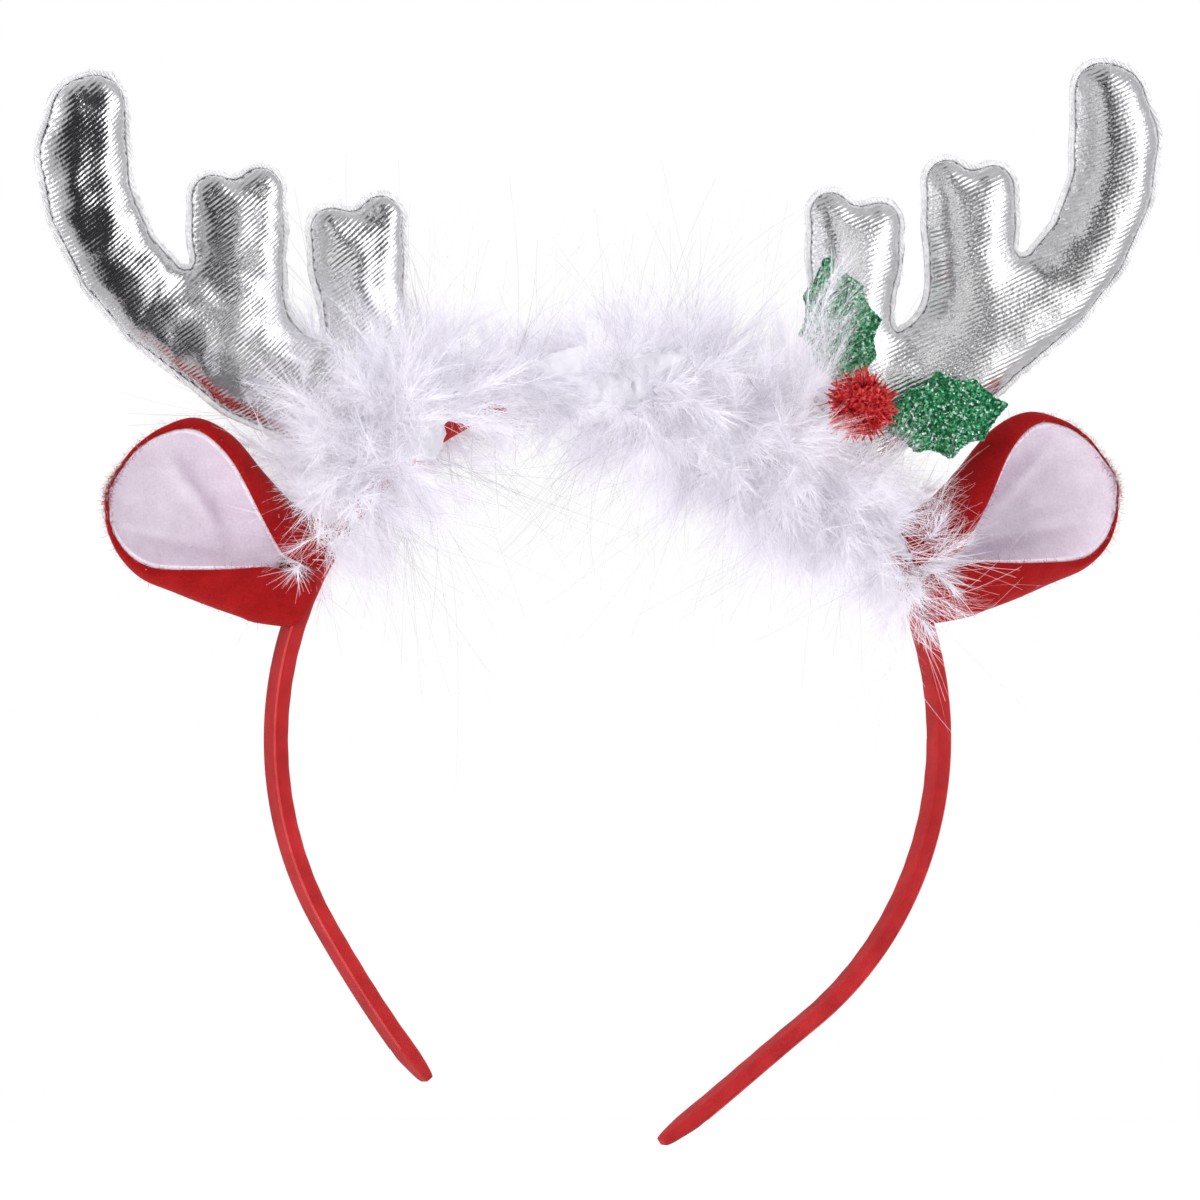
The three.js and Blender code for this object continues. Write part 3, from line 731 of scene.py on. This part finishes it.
def pucker(p, rim):
    """Small gathers that run in from the seam and fade."""
    height, inside, fade = 0.2, 1.6, 1.7
    tree = KDTree(len(rim))
    for i, (x, z) in enumerate(rim):
        tree.insert((x, z, 0), i)
    tree.balance()
    run = np.concatenate([[0], np.cumsum(np.linalg.norm(np.diff(rim, axis=0), axis=1))])
    found = [tree.find((x, z, 0)) for x, z in p]
    along = np.array([run[i] for _, i, _ in found])
    off = np.array([distance for _, _, distance in found])
    wave = np.sin(along * 1.75 + 1.2 * np.sin(along * 0.31)) + 0.5 * np.sin(along * 0.83 + 1.0)
    return height * wave * np.exp(-((off - inside) / fade) ** 2)


def antler_place(side):
    """Moves points of the right antler to where this one is set."""
    lean, out, up = ANTLER_SET[side]
    foot_x, foot_z = ANTLER_FOOT

    def place(p):
        x, z = turned(p[:, 0] - foot_x, p[:, 2] - foot_z, lean)
        return xyz(x + foot_x + out, p[:, 1], z + foot_z + up) * [SIDES[side], 1, 1]

    return place


def antler_outline(side):
    """Signed distance in the right antler's plane to this one's cut edge, which stays off the band."""
    place = antler_place(side)
    ring = OUTER_FACE + ANTLER.clear

    def outline(p):
        world = place(xyz(p[:, 0], 0.0, p[:, 1]))
        in_ring = ring - np.hypot(world[:, 0] - BAND.shift, world[:, 2] - CENTRE_Z)
        return np.maximum(limb_distance(p), in_ring)

    return outline


def make_antler(side):
    """Two panels sewn together and stuffed, with a flat cut border outside the seam."""
    place, outline = antler_place(side), antler_outline(side)

    def seam_line(p):
        return outline(p) + ANTLER.border

    flat, triangles, rim = flat_panel(seam_line, ANTLER.spacing)
    points, faces = sewn_panels(flat, triangles, rim, -seam_line(flat))
    points = inflate(points, faces, rim)
    points = relaxed(points, edges_of(faces)[0], rim, ANTLER_RELAX[side])
    points[:, 1] = soft_limit(points[:, 1], ANTLER.deepest)
    gathers = pucker(points[:, [0, 2]], flat[rim])
    off_seam = np.minimum(1, np.abs(points[:, 1]) / ANTLER.smooth_depth)
    wrinkles = ANTLER_WRINKLE[side] * crumple(points) * off_seam
    points[:, 1] += (gathers + wrinkles) * np.sign(points[:, 1])
    piece = mesh_piece(f"antler_{side}_foil", place(points), faces, FOIL[side])
    smoother = piece.modifiers.new("smooth", "SUBSURF")
    smoother.levels = smoother.render_levels = 1
    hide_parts(f"antler_{side}")
    out = slope(outline, flat[rim])
    make_border(side, flat[rim], out, place)
    make_fray(side, flat[rim], out, place)


def make_border(side, seam, out, place):
    """The flat allowance outside the seam: two layers of cloth with a cut edge."""
    steps, half_depth, thinner, tuck, ragged, waves = 4, 0.42, 0.35, 0.25, 0.16, 0.22
    count = len(seam)
    lines = []
    for depth in (-half_depth, half_depth):
        for k in range(steps + 1):
            reach = np.full(count, ANTLER.border * k / steps - tuck)
            if k == steps and depth < 0:
                reach += ragged * rng.normal(size=count)
            edge = seam + out * reach[:, None]
            wave = waves * np.sin(np.arange(count) * 0.42) * k / steps
            y = depth * (1 - thinner * k / steps) + wave
            lines.append(xyz(edge[:, 0], y, edge[:, 1]))
    rings = lines[: steps + 1] + lines[steps + 1:][::-1]
    around = len(rings)
    closing = tube_faces(2, around)
    closing = np.where(closing >= around, closing - around, closing + (count - 1) * around)
    faces = np.concatenate([tube_faces(count, around), closing])
    if SIDES[side] > 0:
        faces = faces[:, ::-1]
    points = np.stack(rings, axis=1).reshape(-1, 3)
    mesh_piece(f"antler_{side}_border", place(points), faces, BORDER)


def make_fray(side, seam, out, place):
    """Loose threads along the cut edge."""
    count, inside, width, stray, splay, apart = 600, 0.5, 0.07, 0.9, 0.5, 0.2
    pick = rng.integers(0, len(seam), count)
    root = seam[pick] + out[pick] * (ANTLER.border - inside)
    aim = unit(out[pick] + stray * rng.normal(size=(count, 2)))
    length = rng.uniform(0.4, 0.9, count)
    t = np.linspace(0, 1, 3)
    flat = root[:, None, :] + aim[:, None, :] * (length[:, None] * t[None, :])[..., None]
    depth = splay * rng.normal(size=(count, 1)) * t[None, :] + apart * rng.normal(size=(count, 1))
    paths = xyz(flat[..., 0], depth, flat[..., 1])
    paths = place(paths.reshape(-1, 3)).reshape(paths.shape)
    ribbons(f"antler_{side}_fray", paths, np.full(paths.shape[:2], width), BORDER)


# Ears

def ear_place(side):
    """Moves points from the ear's own frame, along from its foot, to where it is set on the band."""
    angle, point, stretch = EAR_SET[side]
    at = angle if side == "right" else 180 - angle
    foot = polar(at, OUTER_FACE + EAR.clear, -EAR.forward)

    def place(p):
        x, z = turned(p[..., 0] * stretch, p[..., 2], -point)
        return xyz(x * SIDES[side], p[..., 1], z) + foot

    return place


def ear_form(rows, inset):
    """Points (rows, across, 3) of the fold, inset millimetres inside its outer form."""
    along, rise, half, depth, wrap = rows.T
    turn = np.radians(wrap)[:, None] * np.linspace(1, -1, EAR.across)[None, :]
    least_half, least_depth = 0.4, 0.3
    half = np.maximum(half - inset, least_half)[:, None]
    depth = np.maximum(depth - inset, least_depth)[:, None]
    return xyz(along[:, None], depth * np.cos(turn), rise[:, None] + half * np.sin(turn))


def felt_wobble(points):
    """Slow unevenness, as hand-folded felt has."""
    x, _, z = np.moveaxis(points, -1, 0)
    wave = np.sin(x * 0.33 + 1.3 * np.sin(z * 0.21)) + 0.6 * np.sin(z * 0.47 + x * 0.19 + 2)
    return points + wave[..., None] * EAR_WOBBLE


def creased(points):
    """The uneven lining, lifted off the felt along soft creases that run out from the fold's point."""
    points = felt_wobble(points)
    lifted = points.copy()
    x, z = points[..., 0] - CREASE_FROM[0], points[..., 2] - CREASE_FROM[1]
    start_fade, end_fade = 1.5, 2.5
    for degrees, start, end, width, height in LINING_CREASES:
        along, off = turned(x, z, degrees)
        ends = 1 / (1 + np.exp((start - along) / start_fade)) / (1 + np.exp((along - end) / end_fade))
        lifted[..., 1] -= height * ends * np.exp(-((off / width) ** 2)) * (points[..., 1] > 0)
    return lifted


def make_layer(name, rows, insets, side, shaped, material):
    """A closed layer of felt between two insets, with rounded edges; shaped moves its points last."""
    place = ear_place(side)
    outer, inner, middle = (shaped(ear_form(rows, inset)) for inset in (*insets, sum(insets) / 2))
    beyond = unit(np.gradient(middle, axis=1)) * EAR.edge
    first_edge = middle[:, :1] - beyond[:, :1]
    last_edge = middle[:, -1:] + beyond[:, -1:]
    rings = np.concatenate([outer, last_edge, inner[:, ::-1], first_edge], axis=1)
    faces = tube_with_caps(len(rings), rings.shape[1])
    if SIDES[side] < 0:
        faces = faces[:, ::-1]
    piece = mesh_piece(name, place(rings.reshape(-1, 3)), faces, material)
    return piece, place(outer), place(middle)


def fuzz(name, surface, middle, count, length, material):
    """Loose fibres that stand off a felt surface, thickest along its edges."""
    stray, edge_stray, curve, points, width = 0.25, 0.35, 0.5, 4, 0.045
    edge = np.concatenate([middle[:, 0], middle[:, -1]])
    edge = np.repeat(edge, max(1, count // (2 * len(edge))), axis=0)
    edge = edge + edge_stray * rng.normal(size=edge.shape)
    flat = surface.reshape(-1, 3)
    face = flat[rng.integers(0, len(flat), count // 2)]
    face = face + stray * rng.normal(size=face.shape)
    roots = np.concatenate([face, edge])
    strands = len(roots)
    aim = random_units(strands)[:, None, :]
    reach = length * rng.uniform(0.4, 1.4, strands)
    bend = random_units(strands)[:, None, :] * curve
    t = np.linspace(0, 1, points)[None, :, None]
    paths = roots[:, None, :] + reach[:, None, None] * (aim * t + bend * t**2)
    ribbons(name, paths, np.full(paths.shape[:2], width), material)


def cloth_area(piece):
    """Half the surface of a closed sheet, in square metres."""
    return sum(face.area for face in piece.data.polygons) / 2


def make_ear(side):
    """The folded felt and the lining inside it, each with its loose fibres."""
    rows = smooth_rows(EAR_SECTIONS, EAR.rows)
    lining_rows = rows[EAR.lining_short:-EAR.lining_short]
    inset = EAR.felt + EAR.gap
    outer, skin, edge = make_layer(
        f"ear_{side}_felt", rows, (0.0, EAR.felt), side, felt_wobble, FELT)
    inner, lining, lining_edge = make_layer(
        f"ear_{side}_lining", lining_rows, (inset, inset + EAR.lining), side, creased, PLUSH)
    fuzz(f"ear_{side}_felt_fuzz", skin, edge, 5200, 0.9, FELT)
    fuzz(f"ear_{side}_lining_fuzz", lining, lining_edge, 3600, 0.7, PLUSH)
    for piece, node in ((outer, f"ear_felt_{side}"), (inner, f"ear_lining_{side}")):
        area = cloth_area(piece)
        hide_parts(node)


# Feather boa

def boa_section(angle):
    """The middle of the boa at these angles, and its half height there."""
    at, half, lift = BOA_SECTIONS[::-1].T
    middle = polar(angle, BAND.radius) + UP * np.interp(angle, at, lift)[:, None]
    return middle, np.interp(angle, at, half)


def make_down():
    """The dense down at the roots, under the barbs."""
    rings, around, share, depth_share = 170, 48, 0.5, 0.8
    angle = np.linspace(BOA_SECTIONS[2, 0], BOA_SECTIONS[-2, 0], rings)
    turn = np.linspace(0, 2 * np.pi, around, endpoint=False)
    lump = 1 + 0.12 * np.sin(turn[None, :] * 3 + angle[:, None] * 0.21)
    lump += 0.1 * np.sin(turn[None, :] * 5 - angle[:, None] * 0.37)
    lump += 0.05 * rng.normal(size=(rings, around))
    ends = np.sqrt(np.clip(1 - np.abs(np.linspace(-1, 1, rings)) ** 3, 0.02, 1))
    middle, half = boa_section(angle)
    half_depth = np.minimum(half, BOA.deepest * depth_share)
    high, deep = (share * size[:, None] * lump * ends[:, None] for size in (half, half_depth))
    points = middle[:, None, :] + outward(angle)[:, None, :] * (high * np.cos(turn))[..., None]
    points = points + DEPTH * (deep * np.sin(turn))[..., None]
    piece = mesh_piece("boa_down", points.reshape(-1, 3), tube_faces(rings, around), DOWN_PAINTED_SHADE)
    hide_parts("feather_boa")


def near(p, middle, radius, depth_weight):
    """Which points lie within a radius of the middle, with depth counted by its weight."""
    return np.linalg.norm((p - middle) * [1, depth_weight, 1], axis=-1) < radius


def veil_share(p):
    """The share of barbs that stays in front of the berry, the leaves, the gap and the ears' mouths."""
    share = np.ones(p.shape[:-1])
    berry = near(p, BERRY.centre, BERRY.reach, VEIL.depth_weight)
    share[berry] = np.where(p[berry][:, 0] < BERRY_BARE_FROM, VEIL.berry_left, VEIL.berry)
    for name, (left, right) in LEAF_VEIL.items():
        (x, y, z), point, _ = LEAF_SET[name]
        along, across = turned(p[..., 0] - x, p[..., 2] - z, point)
        half = np.interp(along, *LEAF_CLEAR.T)
        beside = (along > LEAF_CLEAR[0, 0]) & (along < LEAF_CLEAR[-1, 0])
        over = (np.abs(across) < half) & beside & (p[..., 1] < y + 1)
        share[over] = np.minimum(share[over], np.where(across[over] > 0, left, right))
    bare = near(p, BOA_GAP.middle, BOA_GAP.radius, 0)
    share[bare & (p[..., 1] < 0)] = VEIL.gap
    for side in SIDES:
        mouth = ear_place(side)(EAR_MOUTH.middle)
        over = near(p, mouth, EAR_MOUTH.radius, VEIL.depth_weight)
        share[over] = np.minimum(share[over], VEIL.ear)
    return share


def thinned(paths):
    """The strands that stay, so that they veil the trim only lightly."""
    stays = rng.random(len(paths)) < veil_share(paths).min(axis=1)
    return paths[stays]


def barbs_of(middle, aim, reach, size, barbs):
    """Roots, directions, lengths and lifts of the barbs on plumes that have these roots and aims."""
    count, most_bend, bare, ruffle = len(middle), 0.6, 0.15, 0.8
    root_angle, closing, angle_stray = 58, 36, 14
    bend = unit(np.cross(aim, random_units(count))) * rng.uniform(0, most_bend, (count, 1))
    plane = unit(np.cross(aim, random_units(count)))
    t = bare + (1 - bare) * rng.random((count, barbs)) ** 0.8
    stem = aim[:, None, :] * t[..., None] + bend[:, None, :] * (t**2)[..., None]
    stem = middle[:, None, :] + reach[:, None, None] * stem
    head = unit(aim[:, None, :] + 2 * bend[:, None, :] * t[..., None])
    spread = root_angle - closing * t + angle_stray * rng.normal(size=t.shape)
    spread = np.radians(spread)[..., None]
    side = plane[:, None, :] * np.sign(rng.random(t.shape) - 0.5)[..., None]
    side = unit(side + ruffle * rng.normal(size=stem.shape))
    go = unit(head * np.cos(spread) + side * np.sin(spread))
    length = rng.uniform(0.22, 0.48, t.shape) * size[:, None]
    return stem.reshape(-1, 3), go.reshape(-1, 3), length.ravel(), head.reshape(-1, 3)


def plumes(count, barbs):
    """Barbs of small plumes that stand out all round the band."""
    short, steps, crowding, stray = 2.0, 600, 1.3, 0.45
    grid = np.linspace(BOA_SECTIONS[-1, 0] + short, BOA_SECTIONS[0, 0] - short, steps)
    weight = np.cumsum(boa_section(grid)[1] ** crowding)
    angle = np.interp(rng.random(count), weight / weight[-1], grid)
    turn = rng.uniform(0, 2 * np.pi, count)
    middle, half = boa_section(angle)
    out = outward(angle)
    depth = np.minimum(1, BOA.deepest / half)
    aim = out * np.cos(turn)[:, None] + DEPTH * (depth * np.sin(turn))[:, None]
    aim = aim + stray * rng.normal(size=(count, 1)) * np.cross(DEPTH, out)
    aim = aim / np.maximum(1, np.linalg.norm(aim, axis=1))[:, None]
    reach = half * rng.uniform(0.6, 0.96, count)
    return barbs_of(middle, aim, reach, size=6 + 0.7 * half, barbs=barbs)


def scattered(table, aim_stray, root_stray):
    """Roots, aims and reaches of a table's rows, each repeated as it says and set a little apart."""
    rows = np.repeat(table, table[:, -1].astype(int), axis=0)
    root, aim, reach, _ = np.split(rows, [3, 6, 7], axis=1)
    aim = unit(aim) + aim_stray * rng.normal(size=aim.shape)
    root = root + root_stray * rng.normal(size=root.shape)
    return root, aim, reach.ravel()


def barb_paths(root, go, length, lift, points, curl):
    """Paths of barbs that set out along go, lean to their lift and curl, within the boa's depth."""
    lean, bend = 0.5, 0.45
    t = np.linspace(0, 1, points)[None, :, None]
    toward = lift * lean + curl * rng.normal(size=root.shape)
    run = go[:, None, :] * t + toward[:, None, :] * bend * t**2
    paths = root[:, None, :] + length[:, None, None] * run
    paths[..., 1] = soft_limit(paths[..., 1], BOA.limit)
    return paths


def make_barbs():
    """The barbs of the boa's many small plumes, in several pieces."""
    width, curl, pieces = 0.11, 0.55, 4
    taper = np.array([1.0, 0.95, 0.75, 0.25])
    paths = thinned(barb_paths(*plumes(count=600, barbs=128), len(taper), curl))
    widths = width * taper[None, :] * rng.uniform(0.7, 1.3, (len(paths), 1))
    for i, part in enumerate(np.array_split(np.arange(len(paths)), pieces)):
        ribbons(f"boa_barbs_{i + 1}", paths[part], widths[part], FEATHER)


def tapered(name, paths, width, material):
    """Strands of feather that narrow towards their tips."""
    tip_share = 0.35
    taper = np.linspace(1, tip_share, paths.shape[1])
    widths = np.repeat(width * taper[None, :], len(paths), axis=0)
    ribbons(name, paths, widths, material)


def make_wisps():
    """Single long barbs that stand out of the boa."""
    root, go, length, lift = plumes(count=300, barbs=10)
    added, most_added, upright = 5.0, 14.0, 0.9
    longer = length + added + most_added * rng.random(len(length)) ** 2
    paths = barb_paths(root, unit(go + upright * lift), longer, lift, points=8, curl=0.6)
    tapered("boa_wisps", thinned(paths), width=0.1, material=WISP)


def make_strays():
    """Long strands that lie over the ears."""
    root, aim, length = scattered(STRAYS, aim_stray=0.28, root_stray=2.6)
    aim = unit(aim)
    length = length * rng.uniform(0.5, 1.2, len(length))
    paths = barb_paths(root, aim, length, aim, points=8, curl=0.4)
    tapered("boa_strays", paths, width=0.12, material=FEATHER)


def make_loose():
    """Longer plumes that lie over the trim and the ears."""
    root, aim, reach = scattered(LOOSE_PLUMES, aim_stray=0.16, root_stray=1.6)
    reach = reach * rng.uniform(0.75, 1.1, len(reach))
    barbs = barbs_of(root, aim, reach, size=np.full(len(root), 20.0), barbs=96)
    tapered("boa_loose", barb_paths(*barbs, points=6, curl=0.4), width=0.05, material=FEATHER)


def make_boa():
    make_down()
    make_barbs()
    make_wisps()
    make_strays()
    make_loose()


# Holly and berry

def leaf_half(along):
    """Half the leaf's width along its rib: spikes with hollows between."""
    half = np.zeros_like(along)
    for (a, ha), (b, hb) in zip(LEAF_SPIKES, LEAF_SPIKES[1:]):
        t = np.clip((along - a) / (b - a), 0, 1)
        dip = (ha + hb) / 2 * LEAF.hollow
        curve = (1 - t) ** 2 * ha + 2 * t * (1 - t) * dip + t**2 * hb
        half = np.where((along >= a) & (along <= b), curve, half)
    return half


def leaf_dish(along, share):
    """How far the leaf is lifted along its rib, at a share of its half width."""
    return LEAF.dish * share**2 * np.sin(np.pi * along / LEAF_LENGTH)


def leaf_axes(name):
    """The stalk's place, and the directions along, across and out of the leaf's front."""
    stalk, point, back = LEAF_SET[name]
    a, b = math.radians(point), math.radians(back)
    along = np.array([math.cos(a) * math.cos(b), math.sin(b), math.sin(a) * math.cos(b)])
    across = np.array([-math.sin(a), 0, math.cos(a)])
    return np.array(stalk), np.stack([along, across, np.cross(along, across)])


def make_leaf(name):
    """A slip of foam cut to a holly leaf, slightly dished, thick with flakes."""
    stalk, axes = leaf_axes(name)
    rows, across, bevel = 90, 13, 0.02
    along = np.linspace(0, LEAF_LENGTH, rows)[:, None]
    share = np.linspace(-1, 1, across)[None, :]
    y = leaf_half(along) * share
    dish = leaf_dish(along, share)
    back, front = (xyz(along, y, dish + LEAF.thickness * at) for at in (bevel, 1 - bevel))
    rings = np.concatenate([back, front[:, ::-1]], axis=1)
    points = stalk + rings.reshape(-1, 3) @ axes
    faces = tube_with_caps(rows, 2 * across)
    piece = mesh_piece(f"{name}_foam", points, faces, LEAF_FOAM, smooth=False)
    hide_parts(name)
    make_flakes(name, stalk, axes)


def make_flakes(name, stalk, axes):
    """Flakes on both faces of a leaf and round its edge."""
    count, front_share, rim_share, lift, most_tilt = 7000, 0.6, 0.12, 0.06, 0.5
    at = rng.uniform(0, LEAF_LENGTH, count)
    off = rng.uniform(-1, 1, count)
    level = np.where(rng.random(count) < front_share, 1.0, 0.0)
    rim = rng.random(count) < rim_share
    off = np.where(rim, np.sign(off), off)
    level = np.where(rim, rng.random(count), level)
    proud = np.where(level > 0.5, lift, -lift)
    depth = leaf_dish(at, off) + LEAF.thickness * level + proud
    middle = xyz(at, leaf_half(at) * off, depth)
    tilt = unit(UP + most_tilt * rng.normal(size=(count, 3)))
    radii = rng.uniform(0.14, 0.28, count)
    hexagons(f"{name}_flakes", stalk + middle @ axes, tilt @ axes, radii)


def hexagons(name, middles, normals, radii):
    """Many small six-sided flakes."""
    a = unit(np.cross(normals, random_units(len(normals))))
    b = np.cross(normals, a)
    turn = np.linspace(0, 2 * np.pi, 6, endpoint=False)[None, :, None]
    ring = a[:, None, :] * np.cos(turn) + b[:, None, :] * np.sin(turn)
    points = middles[:, None, :] + ring * radii[:, None, None]
    faces = np.arange(len(middles) * 6).reshape(-1, 6)
    mesh_piece(name, points.reshape(-1, 3), faces, LEAF_FLAKE, smooth=False)


def make_knot():
    """The uneven ball that the tinsel strips stand on."""
    rings, around, rough = 24, 36, 0.35
    fall = np.linspace(0.02, np.pi - 0.02, rings)[:, None]
    turn = np.linspace(0, 2 * np.pi, around, endpoint=False)[None, :]
    ball = xyz(np.sin(fall) * np.cos(turn), np.sin(fall) * np.sin(turn), np.cos(fall))
    radius = BERRY.core + rough * rng.normal(size=(rings, around, 1))
    knot = BERRY.centre + ball * radius
    faces = tube_faces(rings, around)
    mesh_piece("berry_knot", knot.reshape(-1, 3), faces, TINSEL, smooth=False)


def make_berry():
    """A ball of tinsel: narrow shiny strips that stand out all round from a knot of the same."""
    make_knot()
    count, points, shorter, uneven, sunk, most_sway, tip_share = 800, 5, 1.9, 2.6, 1.5, 2.4, 0.3
    out = random_units(count)
    reach = BERRY.reach - shorter + uneven * rng.random(count) ** 2
    start = BERRY.core - sunk + rng.random(count)
    sway = np.cross(out, random_units(count)) * rng.uniform(0, most_sway, (count, 1))
    t = np.linspace(0, 1, points)
    run = start[:, None] + (reach - start)[:, None] * t[None, :]
    paths = out[:, None, :] * run[..., None] + sway[:, None, :] * (t**2)[None, :, None]
    widths = rng.uniform(0.5, 1.1, (count, 1)) * np.linspace(1, tip_share, points)
    piece = ribbons("berry_tinsel", BERRY.centre + paths, widths, TINSEL)
    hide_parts("berry")


# Stage

def away(azimuth, elevation=0.0):
    """The direction from the object to a camera or light, 0 degrees in front and 90 at its right."""
    a, e = math.radians(azimuth), math.radians(elevation)
    return Vector((math.sin(a) * math.cos(e), -math.cos(a) * math.cos(e), math.sin(e)))


def look_back(thing, back):
    thing.rotation_euler = (-back).to_track_quat("-Z", "Y").to_euler()


def make_camera():
    """The photograph's camera."""
    back = away(PHOTO.azimuth)
    right = away(PHOTO.azimuth + 90)
    aim = right * PHOTO.aim_right * MM + Vector((0, 0, PHOTO.aim_up * MM))
    data = bpy.data.cameras.new("camera")
    data.sensor_width = 36.0
    data.lens = data.sensor_width * PHOTO.distance / PHOTO.width
    data.clip_start, data.clip_end = 0.1, 60.0
    camera = add_object("camera", data)
    camera.location = aim + back * PHOTO.distance * MM
    look_back(camera, back)
    bpy.context.scene.camera = camera


def make_floor():
    pale, white = (0.93, 0.93, 0.94, 1), (1, 1, 1, 1)
    n = new_material(
        "pale_floor", Base_Color=pale, Roughness=0.9, Emission_Color=white, Emission_Strength=0.38)
    turn = np.linspace(0, 2 * np.pi, FLOOR.sides, endpoint=False)
    level = cad_box[0][2] / MM - FLOOR.drop
    rim = xyz(FLOOR.radius * np.cos(turn), FLOOR.radius * np.sin(turn), level)
    mesh = bpy.data.meshes.new("floor")
    mesh.from_pydata((rim * MM).tolist(), [], [list(range(len(rim)))])
    mesh.materials.append(n.owner)
    floor = add_object("floor", mesh)
    floor.visible_glossy = False


def make_light(name, azimuth, elevation, distance, width, height, power, mirrored):
    """A soft light aimed at the object."""
    back = away(azimuth, elevation)
    data = bpy.data.lights.new(name, "AREA")
    data.shape, data.size, data.size_y = "RECTANGLE", width, height
    data.energy = power
    light = add_object(name, data)
    light.location = back * distance
    look_back(light, back)
    light.visible_camera = False
    light.visible_glossy = mirrored
    light.visible_diffuse = not mirrored


def make_world():
    """White behind the object, pale for its light, and for reflections a room that is dark in front."""
    world = bpy.data.worlds.new("studio")
    bpy.context.scene.world = world
    n = Nodes(world)
    at = n.add("ShaderNodeTexCoord").outputs["Generated"]
    height_share = 0.55
    level = n.vector("NORMALIZE", n.vector("MULTIPLY", at, (1, 1, height_share)))
    facing = n.vector("DOT_PRODUCT", level, away(ROOM_AZIMUTH), output="Value")
    share = n.add("ShaderNodeMapRange", {"Value": facing, "From Min": -1.0}).outputs["Result"]
    room = n.ramp(share, ROOM)
    path = n.add("ShaderNodeLightPath").outputs
    pale, white = (0.42, 0.42, 0.43, 1), (1, 1, 1, 1)
    lit = n.add("ShaderNodeMixRGB", {0: path["Is Glossy Ray"], 1: pale, 2: room}).outputs[0]
    shown = n.add("ShaderNodeMixRGB", {0: path["Is Camera Ray"], 1: lit, 2: white}).outputs[0]
    n.link(shown, n.tree.nodes["Background"].inputs["Color"])


def make_stage():
    make_floor()
    make_world()
    for name, settings in LIGHTS.items():
        make_light(name, *settings)
    view = bpy.context.scene.view_settings
    view.view_transform = "Standard"
    view.look = "None"


make_camera()
make_stage()
make_band()
for side in SIDES:
    make_antler(side)
    make_ear(side)
make_boa()
for leaf in LEAF_SET:
    make_leaf(leaf)
make_berry()
